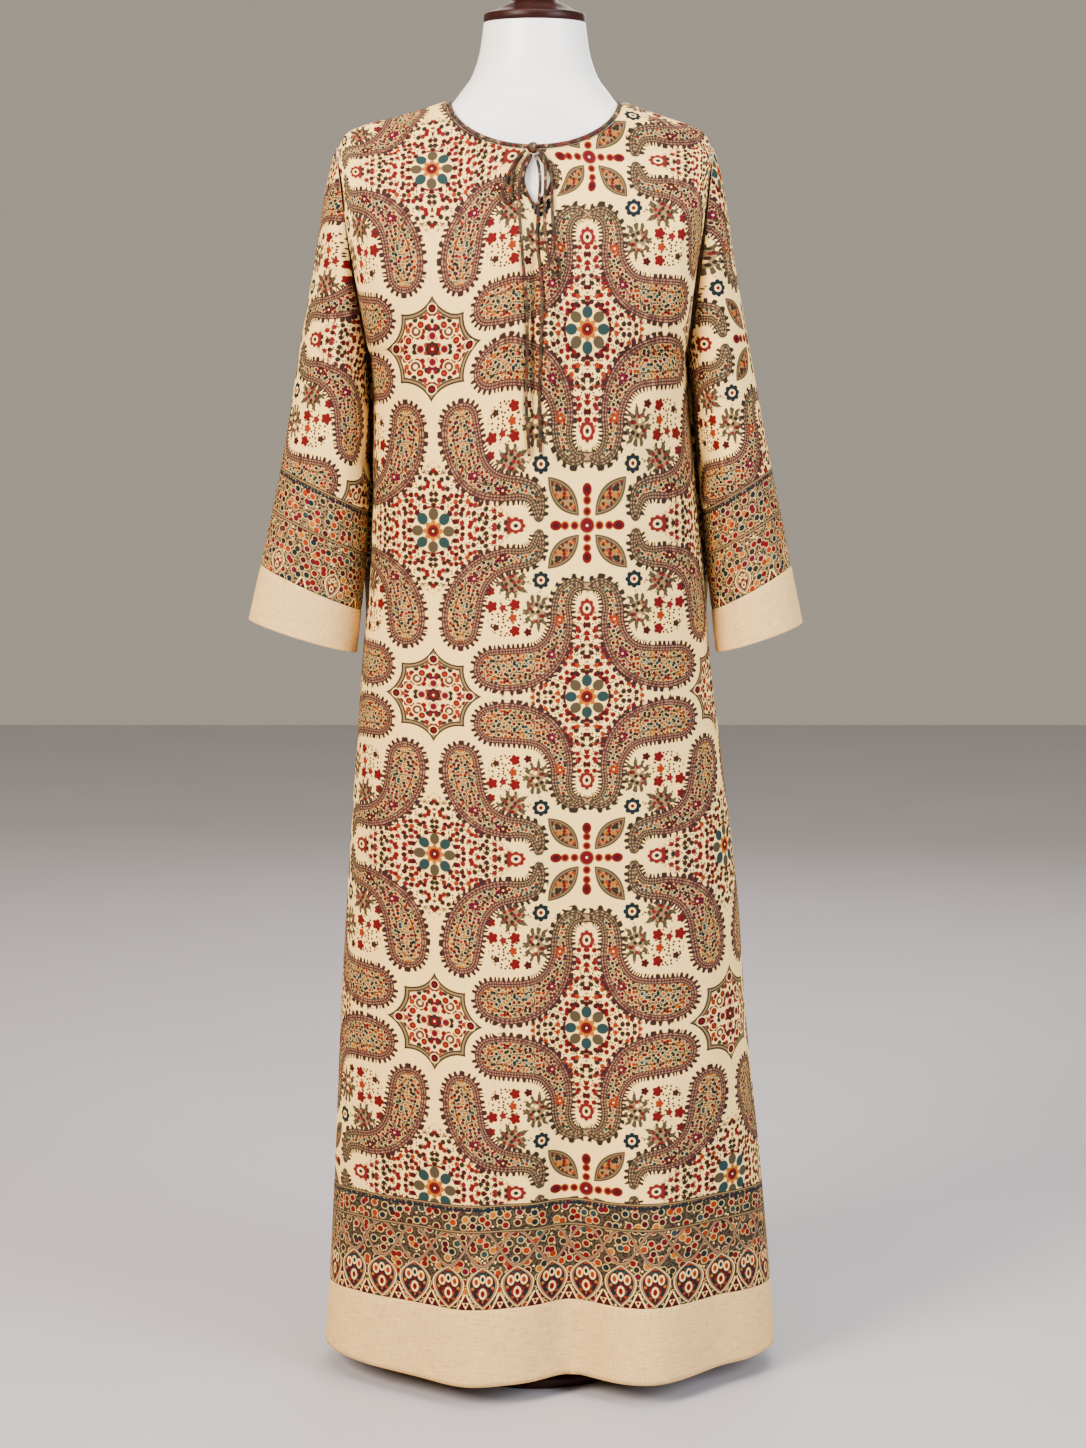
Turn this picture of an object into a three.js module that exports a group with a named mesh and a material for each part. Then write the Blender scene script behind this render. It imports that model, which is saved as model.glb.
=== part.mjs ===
// A long straight kaftan with set-in sleeves, worn by a limbless dress form on a round base.
// Millimetres, +Z up. The origin is the centre of the base's underside, on the floor. The front
// faces -Y, and left (-X) and right (+X) are as seen from the front.
import * as THREE from 'three';
import { mergeVertices } from 'three/addons/utils/BufferGeometryUtils.js';

// Driving dimensions of the cloth.
const CLOTH = 2; // wall of one layer with its turnings
const SEAM = 0.3; // parting between two sewn pieces
const HEM_Z = 25; // hem above the floor
const BAND_HEIGHT = 84; // plain hem band at the centre of the front
const BAND_DROP = 16; // how much lower the band's top runs at the side seams
const UNDERARM_Z = 1128;
const SHOULDER_Z = 1350; // shoulder end of the armhole seam
const NECK_HALF = 95; // half width of the neck hole
const NECK_Z = 1399; // neck hole at the shoulder seams
const NECK_DROP = { front: 56, back: 12 };
const KNOT_ROOM = 9.5; // the neck binding stops this far from the middle, for the knot
const ARMHOLE_DEPTH = { front: 62, back: 58 };
const REST = { out: 3.4, up: 4.4 }; // least distance from the form to the cloth's outer face
const SHOULDER_ROUND = 95; // height over which the cloth turns over the shoulder

// Cross-sections of the gown: its side seams, its middle, how far it stands to front and back, and
// how pointed each one is (1 is an ellipse and less is squarer).
const GOWN = [
  { z: 25, left: -237, right: 271, middle: 18, front: 172, back: 158, point: 1.05 },
  { z: 108, left: -231, right: 264, middle: 17, front: 169, back: 154, point: 1.02 },
  { z: 239, left: -224, right: 252, middle: 14, front: 165, back: 149, point: 1 },
  { z: 411, left: -216, right: 234, middle: 11, front: 159, back: 141, point: 0.96 },
  { z: 524, left: -209, right: 226, middle: 9, front: 155, back: 136, point: 0.94 },
  { z: 681, left: -198, right: 207, middle: 6, front: 149, back: 130, point: 0.91 },
  { z: 803, left: -189, right: 192, middle: 3, front: 144, back: 126, point: 0.88 },
  { z: 883, left: -180, right: 184, middle: 1, front: 141, back: 122, point: 0.87 },
  { z: 981, left: -175, right: 174, middle: 0, front: 137, back: 117, point: 0.86 },
  { z: 1078, left: -174, right: 166, middle: 0, front: 134, back: 115, point: 0.85 },
  { z: 1128, left: -180, right: 165, middle: 0, front: 132, back: 117, point: 0.85 },
  { z: 1209, left: -192, right: 172, middle: 0, front: 125, back: 118, point: 0.85 },
  { z: 1269, left: -202, right: 181, middle: 0, front: 112, back: 113, point: 0.85 },
  { z: 1309, left: -206, right: 186, middle: 0, front: 98, back: 104, point: 0.85 },
  { z: 1350, left: -212, right: 191, middle: 0, front: 82, back: 92, point: 0.85 },
  { z: 1405, left: -212, right: 191, middle: 0, front: 70, back: 72, point: 0.85 },
];

// Height of the shoulder seam, from the neck (0) to the armhole (1).
const SHOULDER = [
  { along: 0, z: 1399 },
  { along: 0.2, z: 1391.5 },
  { along: 0.55, z: 1380 },
  { along: 0.8, z: 1372 },
  { along: 0.93, z: 1364 },
  { along: 1, z: 1350 },
];

// Soft folds: where each one stands at the hem, how far it comes out, its half width and the
// height at which it has died away.
const FOLDS = {
  front: [
    { x: -76, out: 22, half: 44, top: 760 },
    { x: 38, out: -36, half: 36, top: 900 },
    { x: 132, out: 22, half: 44, top: 700 },
    { x: 205, out: -8, half: 24, top: 560 },
  ],
  back: [
    { x: -150, out: 9, half: 30, top: 620 },
    { x: -88, out: -22, half: 30, top: 820 },
    { x: -14, out: 12, half: 40, top: 700 },
    { x: 66, out: -28, half: 32, top: 900 },
    { x: 150, out: 12, half: 38, top: 660 },
  ],
};

// The keyhole slit under the knot: how far each lip stands from the middle.
const KEYHOLE = [
  { z: 1280, left: 0, right: 0 },
  { z: 1289, left: 6, right: 9 },
  { z: 1300, left: 11, right: 17 },
  { z: 1311, left: 13.5, right: 20 },
  { z: 1323, left: 11.5, right: 16 },
  { z: 1334, left: 6, right: 8 },
  { z: 1343, left: 3, right: 3 },
];
const KEYHOLE_Z = KEYHOLE[0].z;
const KEYHOLE_MIDDLE_Z = 1312;

// Each sleeve's upper edge and lower edge, from the armhole (0) to the cuff's end (1), with its
// depth to front and back and the middle of that depth.
const SLEEVES = {
  left: [
    { along: 0, x: -214.6, z: 1351, underX: -181.2, underZ: 1127, front: 62, back: 58, y: 0 },
    { along: 0.08, x: -224.5, z: 1313, underX: -181, underZ: 1106, front: 65, back: 62, y: 0 },
    { along: 0.26, x: -241, z: 1215, underX: -180, underZ: 1056, front: 66, back: 64, y: -1 },
    { along: 0.43, x: -256.5, z: 1127, underX: -180, underZ: 1002, front: 62, back: 60, y: -4 },
    { along: 0.63, x: -274, z: 1022, underX: -182, underZ: 934, front: 55, back: 54, y: -8 },
    { along: 0.82, x: -295, z: 921, underX: -188, underZ: 866, front: 52, back: 51, y: -12 },
    { along: 1, x: -313.5, z: 840, underX: -195, underZ: 803, front: 52, back: 51, y: -16 },
  ],
  right: [
    { along: 0, x: 193.6, z: 1351, underX: 166.2, underZ: 1127, front: 62, back: 58, y: 0 },
    { along: 0.08, x: 203.5, z: 1313, underX: 168.5, underZ: 1106, front: 65, back: 62, y: 0 },
    { along: 0.26, x: 219, z: 1215, underX: 173, underZ: 1056, front: 66, back: 64, y: -1 },
    { along: 0.43, x: 235, z: 1127, underX: 178, underZ: 1002, front: 62, back: 60, y: -4 },
    { along: 0.63, x: 255, z: 1022, underX: 184.5, underZ: 934, front: 55, back: 54, y: -8 },
    { along: 0.82, x: 276, z: 921, underX: 191.5, underZ: 866, front: 52, back: 51, y: -12 },
    { along: 1, x: 293.5, z: 836, underX: 198.5, underZ: 804, front: 52, back: 51, y: -16 },
  ],
};
const SLEEVE_START = 0.004; // parting from the armhole, along the sleeve
const CUFF_START = 0.865; // where the plain cuff is sewn on, along the sleeve

// The dress form: its cross-sections from the neck down.
const FORM = [
  { z: 1482.5, half: 55, front: 55, back: 55, y: 12 },
  { z: 1453, half: 59, front: 58, back: 59, y: 10 },
  { z: 1425, half: 68, front: 62, back: 65, y: 7 },
  { z: 1408, half: 80, front: 65, back: 69, y: 4 },
  { z: 1395, half: 90, front: 67, back: 71, y: 0 },
  { z: 1386, half: 107, front: 69, back: 73, y: 0 },
  { z: 1374, half: 139, front: 72, back: 77, y: 0 },
  { z: 1365, half: 163, front: 74, back: 80, y: 0 },
  { z: 1353, half: 177, front: 76, back: 85, y: 0 },
  { z: 1334, half: 182, front: 81, back: 91, y: 0 },
  { z: 1299, half: 181, front: 94, back: 101, y: 0 },
  { z: 1252, half: 176, front: 108, back: 108, y: 0 },
  { z: 1195, half: 166, front: 119, back: 111, y: 0 },
  { z: 1125, half: 155, front: 122, back: 106, y: 0 },
  { z: 1045, half: 140, front: 104, back: 94, y: 0 },
  { z: 965, half: 130, front: 94, back: 88, y: 0 },
  { z: 865, half: 152, front: 104, back: 104, y: 0 },
  { z: 765, half: 168, front: 112, back: 112, y: 0 },
  { z: 690, half: 166, front: 110, back: 110, y: 0 },
];
const CAP_Z = 1482.8; // underside of the wooden neck cap
const POLE_RADIUS = 14;
const BASE_RADIUS = 115;
const BASE_HEIGHT = 24;

// The bindings: a folded strip of the cloth along an edge.
const BINDING = { rise: 3.4, thick: 3.2, tall: 4.6, lift: 1.1 };

// The ties: round cord of the kaftan's own cloth.
const CORD = 3.5;
const CORD_SIDES = 8;
const CORD_LIFT = 3; // the cord's middle above the cloth
const KNOT = { x: -1.5, z: 1344, width: 13, height: 12, depth: 9 };

// Where each tie lies on the front, from the knot to its end.
const TIES = {
  tie_loop_left: [
    { x: -9.5, z: 1341, lift: 4 },
    { x: -17, z: 1334, lift: 4 },
    { x: -24, z: 1323, lift: 2.4 },
    { x: -30, z: 1309, lift: 0.6 },
    { x: -34, z: 1298, lift: 0 },
    { x: -33, z: 1288.5, lift: 0 },
    { x: -28, z: 1286, lift: 0 },
    { x: -25, z: 1293, lift: 0 },
    { x: -24.4, z: 1304, lift: 0 },
    { x: -23, z: 1316, lift: 0.6 },
    { x: -18.6, z: 1328, lift: 1 },
    { x: -12, z: 1337, lift: 1.4 },
  ],
  tie_tail_left: [
    { x: -6, z: 1335.6, lift: 4 },
    { x: -12.2, z: 1325, lift: 4.6 },
    { x: -15, z: 1311, lift: 3.6 },
    { x: -16.2, z: 1293, lift: 1.4 },
    { x: -15.4, z: 1270, lift: 0 },
    { x: -13.2, z: 1243, lift: 0 },
    { x: -12, z: 1226, lift: 0 },
    { x: -9.8, z: 1204, lift: 0 },
    { x: -8, z: 1178, lift: 0 },
    { x: -7.4, z: 1150, lift: 0 },
    { x: -7.8, z: 1112, lift: 0 },
    { x: -8.6, z: 1078, lift: 0 },
    { x: -6.8, z: 1046, lift: 0 },
    { x: -5.4, z: 1021, lift: 0 },
  ],
  tie_tail_right: [
    { x: 1.2, z: 1335.6, lift: 4 },
    { x: 5, z: 1322, lift: 4.6 },
    { x: 6, z: 1305, lift: 4 },
    { x: 4.6, z: 1286, lift: 2 },
    { x: 3.2, z: 1262, lift: 0 },
    { x: 2.8, z: 1243, lift: 0 },
    { x: 5.4, z: 1221, lift: 0 },
    { x: 7.4, z: 1203, lift: 0 },
    { x: 8.2, z: 1184, lift: 0 },
    { x: 7.6, z: 1150, lift: 0 },
    { x: 5.8, z: 1112, lift: 0 },
    { x: 5, z: 1080, lift: 0 },
    { x: 6.2, z: 1050, lift: 0 },
    { x: 6, z: 1025, lift: 0 },
  ],
  tie_loop_right: [
    { x: 4.6, z: 1341.6, lift: 5.4 },
    { x: 9.6, z: 1333, lift: 5.6 },
    { x: 11.6, z: 1318, lift: 4.6 },
    { x: 11, z: 1294, lift: 1.8 },
    { x: 10.6, z: 1268, lift: 0 },
    { x: 12.2, z: 1247, lift: 0 },
    { x: 14.6, z: 1230, lift: 0 },
    { x: 18, z: 1218, lift: 0 },
    { x: 20.6, z: 1210, lift: 0 },
    { x: 24, z: 1206.5, lift: 0 },
    { x: 27, z: 1210.5, lift: 0 },
    { x: 26, z: 1221, lift: 0 },
    { x: 22.8, z: 1240, lift: 0 },
    { x: 19.4, z: 1264, lift: 0 },
    { x: 18.6, z: 1290, lift: 0 },
    { x: 18, z: 1312, lift: 1 },
    { x: 13.6, z: 1329, lift: 1.2 },
    { x: 8.4, z: 1339, lift: 1.6 },
  ],
};

// Grids of the cloth.
const NECK_COLUMNS = 8; // in each half of a panel, from the middle to the neck point
const SHOULDER_COLUMNS = 8; // and from there to the armhole
const LOW_ROWS = { front: 13, back: 11 };
const HIGH_ROWS = { front: 12, back: 10 };
const BAND_ROWS = 2;
const SLEEVE_SIDES = 20;
const SLEEVE_ROWS = 11;
const CUFF_ROWS = 2;
const NECK_STEPS = 12; // of the binding on each quarter of the neck
const KEYHOLE_STEPS = 9; // of the binding on each side of the keyhole
const STRIP_SIDES = 8;

const HALF_PI = Math.PI / 2;

// A smooth curve through a column of a table, without overshoot.
function read(table, key, column, value) {
  const last = table.length - 1;
  const rising = table[last][key] > table[0][key] ? 1 : -1;
  let i = 0;
  while (i < last - 1 && (value - table[i + 1][key]) * rising > 0) i += 1;
  const slope = (k) => (table[k + 1][column] - table[k][column]) / (table[k + 1][key] - table[k][key]);
  const tangent = (k) => {
    if (k === 0) return slope(0);
    if (k === last) return slope(last - 1);
    const before = slope(k - 1);
    const after = slope(k);
    return before * after <= 0 ? 0 : (2 * before * after) / (before + after);
  };
  const width = table[i + 1][key] - table[i][key];
  const t = THREE.MathUtils.clamp((value - table[i][key]) / width, 0, 1);
  const a = table[i][column];
  const b = table[i + 1][column];
  const ease = t * t * (3 - 2 * t);
  const start = t * (1 - t) * (1 - t) * tangent(i) * width;
  const end = t * t * (t - 1) * tangent(i + 1) * width;
  return a + (b - a) * ease + start + end;
}

// Half the gown's width on one side of its middle.
function reach(side, z) {
  const edge = read(GOWN, 'z', side < 0 ? 'left' : 'right', z);
  return Math.abs(edge - read(GOWN, 'z', 'middle', z));
}

// The column at which the neck hole meets the shoulder seam.
function neckColumn(side) {
  return Math.asin(NECK_HALF / reach(side, SHOULDER_Z)) / HALF_PI;
}

// How far the cloth's outer face stands out where it rests on the dress form.
function restOut(face, x, z) {
  const low = z - REST.up;
  const across = Math.abs(x) / (read(FORM, 'z', 'half', low) + REST.out);
  if (across >= 1) return 0;
  const depth = (read(FORM, 'z', face, low) + REST.out) * Math.sqrt(1 - across ** 2);
  return depth + (face === 'front' ? -1 : 1) * read(FORM, 'z', 'y', low);
}

// The direction straight out of the dress form at a place near its surface.
function formNormal(place) {
  const measure = (x, y, z) => {
    const face = y < read(FORM, 'z', 'y', z) ? 'front' : 'back';
    const deep = (y - read(FORM, 'z', 'y', z)) / read(FORM, 'z', face, z);
    return (x / read(FORM, 'z', 'half', z)) ** 2 + deep ** 2;
  };
  const { x, y, z } = place;
  const here = measure(x, y, z);
  const step = 0.5;
  const normal = new THREE.Vector3(measure(x + step, y, z), measure(x, y + step, z), measure(x, y, z + step));
  return normal.subScalar(here).normalize();
}

// Top of a column s, from -1 at the left seam to 1 at the right: its height and its depth.
function top(face, s) {
  const side = s < 0 ? -1 : 1;
  const across = reach(side, SHOULDER_Z) * Math.sin(Math.abs(s) * HALF_PI);
  if (across < NECK_HALF) {
    const z = NECK_Z - NECK_DROP[face] * Math.sqrt(1 - (across / NECK_HALF) ** 2);
    return { z, y: restOut(face, across, z) };
  }
  const along = (across - NECK_HALF) / (reach(side, SHOULDER_Z) - NECK_HALF);
  return { z: read(SHOULDER, 'along', 'z', along), y: 0 };
}

// How far the folds move a point of the cloth outwards.
function foldAt(face, x, z) {
  let out = 0;
  for (const fold of FOLDS[face]) {
    const fade = THREE.MathUtils.clamp((fold.top - z) / (fold.top - HEM_Z), 0, 1);
    out += fold.out * Math.exp(-(((x - fold.x) / fold.half) ** 2)) * fade ** 1.3;
  }
  return out;
}

// A point of the gown's outer face. lip is -1 or 1 for the two edges of the keyhole.
function gownPoint(face, s, z, lip = 0) {
  const side = s < 0 || lip < 0 ? -1 : 1;
  const sine = Math.sin(Math.abs(s) * HALF_PI);
  let x = read(GOWN, 'z', 'middle', z) + side * reach(side, z) * sine;
  const crown = Math.cos(Math.abs(s) * HALF_PI) ** read(GOWN, 'z', 'point', z);
  let out = read(GOWN, 'z', face, z) * crown;
  const edge = top(face, s);
  if (z > UNDERARM_Z) {
    const up = Math.min(1, (z - UNDERARM_Z) / (SHOULDER_Z - UNDERARM_Z));
    const hole = ARMHOLE_DEPTH[face] * Math.sqrt(4 * up * (1 - up));
    out = hole + (read(GOWN, 'z', face, z) - hole) * crown;
    const round = SHOULDER_ROUND * (1 - Math.abs(s) ** 8) + SEAM;
    const under = THREE.MathUtils.clamp((edge.z - z) / round, 0, 1);
    out = edge.y + (out - edge.y) * Math.sqrt(1 - (1 - under) ** 2);
    if (z < edge.z) out = Math.max(out, restOut(face, x, z));
  }
  out += foldAt(face, x, z) * Math.min(1, (1 - Math.abs(s)) * 5);
  if (face === 'front' && z > KEYHOLE_Z) {
    const spread = read(KEYHOLE, 'z', side < 0 ? 'left' : 'right', Math.min(z, KEYHOLE.at(-1).z));
    x += side * spread * (1 - Math.abs(s)) ** 6;
  }
  const y = (face === 'front' ? -1 : 1) * Math.max(out, SEAM / 2);
  return new THREE.Vector3(x, y, z);
}

// Height of the seam between the hem band and the panel.
function bandTop(s) {
  return HEM_Z + BAND_HEIGHT - BAND_DROP * Math.abs(s) ** 2;
}

// A closed wall under a grid of outer points. flatten names the axis that the edge's thickness
// must not lean along, for each point, or nothing.
function wall(points, quads, flatten) {
  const normals = points.map(() => new THREE.Vector3());
  for (const quad of quads) {
    const [a, b, c, d] = quad.map((i) => points[i]);
    const across = new THREE.Vector3().subVectors(c, a);
    const other = new THREE.Vector3().subVectors(d, b);
    const normal = across.cross(other);
    for (const i of quad) normals[i].add(normal);
  }
  const inner = points.map((p, i) => {
    if (flatten[i]) normals[i][flatten[i]] = 0;
    return p.clone().addScaledVector(normals[i].normalize(), -CLOTH);
  });
  const count = points.length;
  const faces = [];
  const edges = new Map();
  for (const [a, b, c, d] of quads) {
    faces.push([a, b, c], [a, c, d]);
    faces.push([a + count, c + count, b + count], [a + count, d + count, c + count]);
    for (const [from, to] of [[a, b], [b, c], [c, d], [d, a]]) {
      if (edges.has(`${to}_${from}`)) edges.delete(`${to}_${from}`);
      else edges.set(`${from}_${to}`, [from, to]);
    }
  }
  for (const [from, to] of edges.values()) {
    faces.push([from, from + count, to + count], [from, to + count, to]);
  }
  return solid([...points, ...inner], faces);
}

function solid(points, faces) {
  const geometry = new THREE.BufferGeometry();
  geometry.setAttribute('position', new THREE.Float32BufferAttribute(points.flatMap((p) => p.toArray()), 3));
  geometry.setIndex(faces.flat());
  geometry.computeVertexNormals();
  return geometry;
}

// The columns of one half of a panel: closer together towards the neck point.
function half(side) {
  const neck = neckColumn(side);
  const columns = [];
  for (let i = 1; i <= NECK_COLUMNS; i += 1) columns.push(side * neck * Math.sin((HALF_PI * i) / NECK_COLUMNS));
  for (let i = 1; i <= SHOULDER_COLUMNS; i += 1) {
    columns.push(side * (neck + (1 - neck) * (i / SHOULDER_COLUMNS) ** 1.15));
  }
  return columns;
}

// The stretch of the gown between two heights of each column, as a closed wall.
function gownWall(face, rows, heightOf, isPanel) {
  const points = [];
  const flatten = [];
  const grid = [];
  const sides = [...half(-1).reverse(), 0, ...half(1)];
  const add = (s, row, lip) => {
    const z = heightOf(s, row);
    points.push(gownPoint(face, s, z, lip));
    const atSide = Math.abs(s) === 1 && z <= UNDERARM_Z;
    const atShoulder = isPanel && row === rows && Math.abs(s) >= neckColumn(s < 0 ? -1 : 1);
    flatten.push(atSide || atShoulder ? 'y' : null);
    return points.length - 1;
  };
  for (let row = 0; row <= rows; row += 1) {
    grid.push(sides.map((s) => {
      const open = isPanel && face === 'front' && s === 0 && heightOf(0, row) > KEYHOLE_Z;
      return open ? [add(0, row, -1), add(0, row, 1)] : [add(s, row, 0)];
    }));
  }
  const quads = [];
  for (let row = 0; row < rows; row += 1) {
    for (let i = 0; i < sides.length - 1; i += 1) {
      const corners = [
        grid[row][i].at(-1), grid[row][i + 1][0], grid[row + 1][i + 1][0], grid[row + 1][i].at(-1),
      ];
      quads.push(face === 'front' ? corners : corners.reverse());
    }
  }
  return wall(points, quads, flatten);
}

// A panel's rows: even up to the underarm, then closer together towards the top edge.
function panelHeight(face, s, row) {
  const low = bandTop(s) + SEAM;
  if (row <= LOW_ROWS[face]) return low + ((UNDERARM_Z - low) * row) / LOW_ROWS[face];
  const left = 1 - (row - LOW_ROWS[face]) / HIGH_ROWS[face];
  const high = top(face, s).z;
  return high - (high - UNDERARM_Z) * left ** 1.7;
}

function panel(face) {
  const rows = LOW_ROWS[face] + HIGH_ROWS[face];
  return gownWall(face, rows, (s, row) => panelHeight(face, s, row), true);
}

function hemBand(face) {
  const heightOf = (s, row) => HEM_Z + ((bandTop(s) - HEM_Z) * row) / BAND_ROWS;
  return gownWall(face, BAND_ROWS, heightOf, false);
}

// A point of a sleeve's outer face. turn runs from the top edge over the front and back again.
function sleevePoint(name, along, turn) {
  const value = (column) => read(SLEEVES[name], 'along', column, along);
  const share = (1 + Math.cos(turn)) / 2;
  const depth = Math.sin(turn) > 0 ? -value('front') : value('back');
  return new THREE.Vector3(
    THREE.MathUtils.lerp(value('underX'), value('x'), share),
    value('y') + depth * Math.abs(Math.sin(turn)),
    THREE.MathUtils.lerp(value('underZ'), value('z'), share),
  );
}

function sleeveWall(name, from, to, rows) {
  const points = [];
  for (let row = 0; row <= rows; row += 1) {
    for (let i = 0; i < SLEEVE_SIDES; i += 1) {
      points.push(sleevePoint(name, from + ((to - from) * row) / rows, (2 * Math.PI * i) / SLEEVE_SIDES));
    }
  }
  const quads = [];
  for (let row = 0; row < rows; row += 1) {
    for (let i = 0; i < SLEEVE_SIDES; i += 1) {
      const next = (i + 1) % SLEEVE_SIDES;
      const here = row * SLEEVE_SIDES;
      const below = here + SLEEVE_SIDES;
      const corners = [here + i, here + next, below + next, below + i];
      quads.push(name === 'left' ? corners.reverse() : corners);
    }
  }
  return wall(points, quads, points.map(() => null));
}

// The dress form's body: rings from the neck down, closed at both ends.
function formBody() {
  const sides = 32;
  const heights = FORM.slice(0, -1).flatMap((row, i) => [row.z, (row.z + FORM[i + 1].z) / 2]);
  heights.push(FORM.at(-1).z);
  const rings = heights.length - 1;
  const points = [];
  const faces = [];
  for (const z of heights) {
    for (let i = 0; i < sides; i += 1) {
      const angle = (2 * Math.PI * i) / sides;
      const depth = read(FORM, 'z', Math.sin(angle) < 0 ? 'front' : 'back', z);
      const x = read(FORM, 'z', 'half', z) * Math.cos(angle);
      points.push(new THREE.Vector3(x, read(FORM, 'z', 'y', z) + depth * Math.sin(angle), z));
    }
  }
  for (let ring = 0; ring < rings; ring += 1) {
    for (let i = 0; i < sides; i += 1) {
      const next = (i + 1) % sides;
      const here = ring * sides;
      const below = here + sides;
      faces.push([here + i, below + i, below + next], [here + i, below + next, here + next]);
    }
  }
  const crown = points.push(new THREE.Vector3(0, FORM[0].y, FORM[0].z)) - 1;
  const foot = points.push(new THREE.Vector3(0, FORM.at(-1).y, FORM.at(-1).z)) - 1;
  for (let i = 0; i < sides; i += 1) {
    const next = (i + 1) % sides;
    faces.push([crown, i, next]);
    faces.push([foot, rings * sides + next, rings * sides + i]);
  }
  return solid(points, faces);
}

// A turned piece about a vertical axis, from a profile of radius and height.
function turned(profile, segments) {
  const outline = profile.map(([radius, z]) => new THREE.Vector2(radius, z));
  const geometry = new THREE.LatheGeometry(outline, segments);
  geometry.rotateX(HALF_PI);
  return geometry;
}

// The wooden cap on the neck: a rounded disc, a hollow curve above it and a small turned knob.
function neckCap() {
  const profile = [[0, 0], [53, 0], [55, 3], [55, 7], [53, 9.5], [44, 12], [36, 18], [28, 21]];
  profile.push([24, 25], [24, 31], [28, 36], [31, 43], [29, 51], [19, 56], [0, 58]);
  return turned(profile, 28);
}

function standBase() {
  const profile = [[0, 0], [BASE_RADIUS - 3, 0], [BASE_RADIUS, 3], [BASE_RADIUS, 9]];
  profile.push([BASE_RADIUS - 5, 13], [BASE_RADIUS - 40, 17], [34, 20], [26, BASE_HEIGHT], [0, BASE_HEIGHT]);
  return turned(profile, 36);
}

// A round cord along a smooth curve.
function cord(route, steps) {
  const curve = new THREE.CatmullRomCurve3(route, false, 'centripetal');
  const section = new THREE.Shape();
  for (let i = 0; i < CORD_SIDES; i += 1) {
    const angle = (2 * Math.PI * i) / CORD_SIDES;
    const x = (CORD / 2) * Math.cos(angle);
    const y = (CORD / 2) * Math.sin(angle);
    if (i === 0) section.moveTo(x, y);
    else section.lineTo(x, y);
  }
  return new THREE.ExtrudeGeometry(section, { steps, extrudePath: curve, bevelEnabled: false });
}

// The front's outward depth at a place of the front given by x and height.
function frontAt(x, z) {
  const middle = read(GOWN, 'z', 'middle', z);
  const side = x < middle ? -1 : 1;
  const s = side * (Math.asin(Math.abs(x - middle) / reach(side, z)) / HALF_PI);
  return gownPoint('front', s, Math.min(z, top('front', s).z)).y;
}

function tieRoute(rows) {
  return rows.map((row) => new THREE.Vector3(row.x, frontAt(row.x, row.z) - CORD_LIFT - row.lift, row.z));
}

// The binding on the neck edge: an oval strip from one side of the knot round to the other.
function neckBinding() {
  const edge = (face, side, share) => {
    const first = face === 'front' ? Math.asin(KNOT_ROOM / reach(side, SHOULDER_Z)) / HALF_PI : 0;
    const s = side * THREE.MathUtils.lerp(first, neckColumn(side), share);
    const point = gownPoint(face, s, top(face, s).z);
    return point.addScaledVector(formNormal(point), BINDING.lift);
  };
  const route = [];
  const legs = [['front', -1, 0, 1], ['back', -1, 1, 0], ['back', 1, 0, 1], ['front', 1, 1, 0]];
  for (const [face, side, from, to] of legs) {
    for (let i = route.length > 0 ? 1 : 0; i <= NECK_STEPS; i += 1) {
      route.push(edge(face, side, THREE.MathUtils.lerp(from, to, i / NECK_STEPS)));
    }
  }
  const inward = (p, ahead) => {
    const up = formNormal(p).cross(ahead);
    return up.z < 0 ? up.negate() : up;
  };
  return strip(route, inward, BINDING.rise, BINDING.thick, BINDING.tall);
}

// The binding round the keyhole's edge.
function keyholeBinding() {
  const route = [];
  for (let i = -KEYHOLE_STEPS; i <= KEYHOLE_STEPS; i += 1) {
    const share = Math.abs(i) / KEYHOLE_STEPS;
    const z = THREE.MathUtils.lerp(KEYHOLE_Z, KNOT.z - KNOT.height / 2, share);
    route.push(gownPoint('front', 0, z, Math.sign(i) || 1));
  }
  const inward = (p) => new THREE.Vector3(-p.x, 0, KEYHOLE_MIDDLE_Z - p.z);
  return strip(route, inward, BINDING.rise * 0.7, BINDING.thick / 2, BINDING.tall / 2);
}

// A closed strip of oval section beside a route, with flat ends. It lies to the side that inward
// gives, rise away from the route.
function strip(route, inward, rise, thick, tall) {
  const points = [];
  const faces = [];
  route.forEach((point, i) => {
    const before = route[Math.max(i - 1, 0)];
    const after = route[Math.min(i + 1, route.length - 1)];
    const ahead = new THREE.Vector3().subVectors(after, before).normalize();
    const up = inward(point, ahead);
    up.addScaledVector(ahead, -up.dot(ahead)).normalize();
    const out = new THREE.Vector3().crossVectors(up, ahead);
    for (let k = 0; k < STRIP_SIDES; k += 1) {
      const angle = (2 * Math.PI * k) / STRIP_SIDES;
      const place = point.clone().addScaledVector(up, rise + (tall / 2) * Math.sin(angle));
      points.push(place.addScaledVector(out, (thick / 2) * Math.cos(angle)));
    }
  });
  const last = (route.length - 1) * STRIP_SIDES;
  for (let here = 0; here < last; here += STRIP_SIDES) {
    for (let k = 0; k < STRIP_SIDES; k += 1) {
      const next = (k + 1) % STRIP_SIDES;
      const far = here + STRIP_SIDES;
      faces.push([here + k, here + next, far + next], [here + k, far + next, far + k]);
    }
  }
  for (let k = 1; k < STRIP_SIDES - 1; k += 1) {
    faces.push([0, k + 1, k], [last, last + k, last + k + 1]);
  }
  return solid(points, faces);
}

function knot() {
  const geometry = new THREE.SphereGeometry(1, 16, 10);
  geometry.scale(KNOT.width / 2, KNOT.depth / 2, KNOT.height / 2);
  return geometry;
}

const printed = new THREE.MeshStandardMaterial({ color: 0xb89a78, roughness: 0.8 });
const plain = new THREE.MeshStandardMaterial({ color: 0xdebe8c, roughness: 0.85 });
const shellWhite = new THREE.MeshStandardMaterial({ color: 0xf0ebe6, roughness: 0.55 });
const mahogany = new THREE.MeshStandardMaterial({ color: 0x3a120c, roughness: 0.3 });

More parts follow.
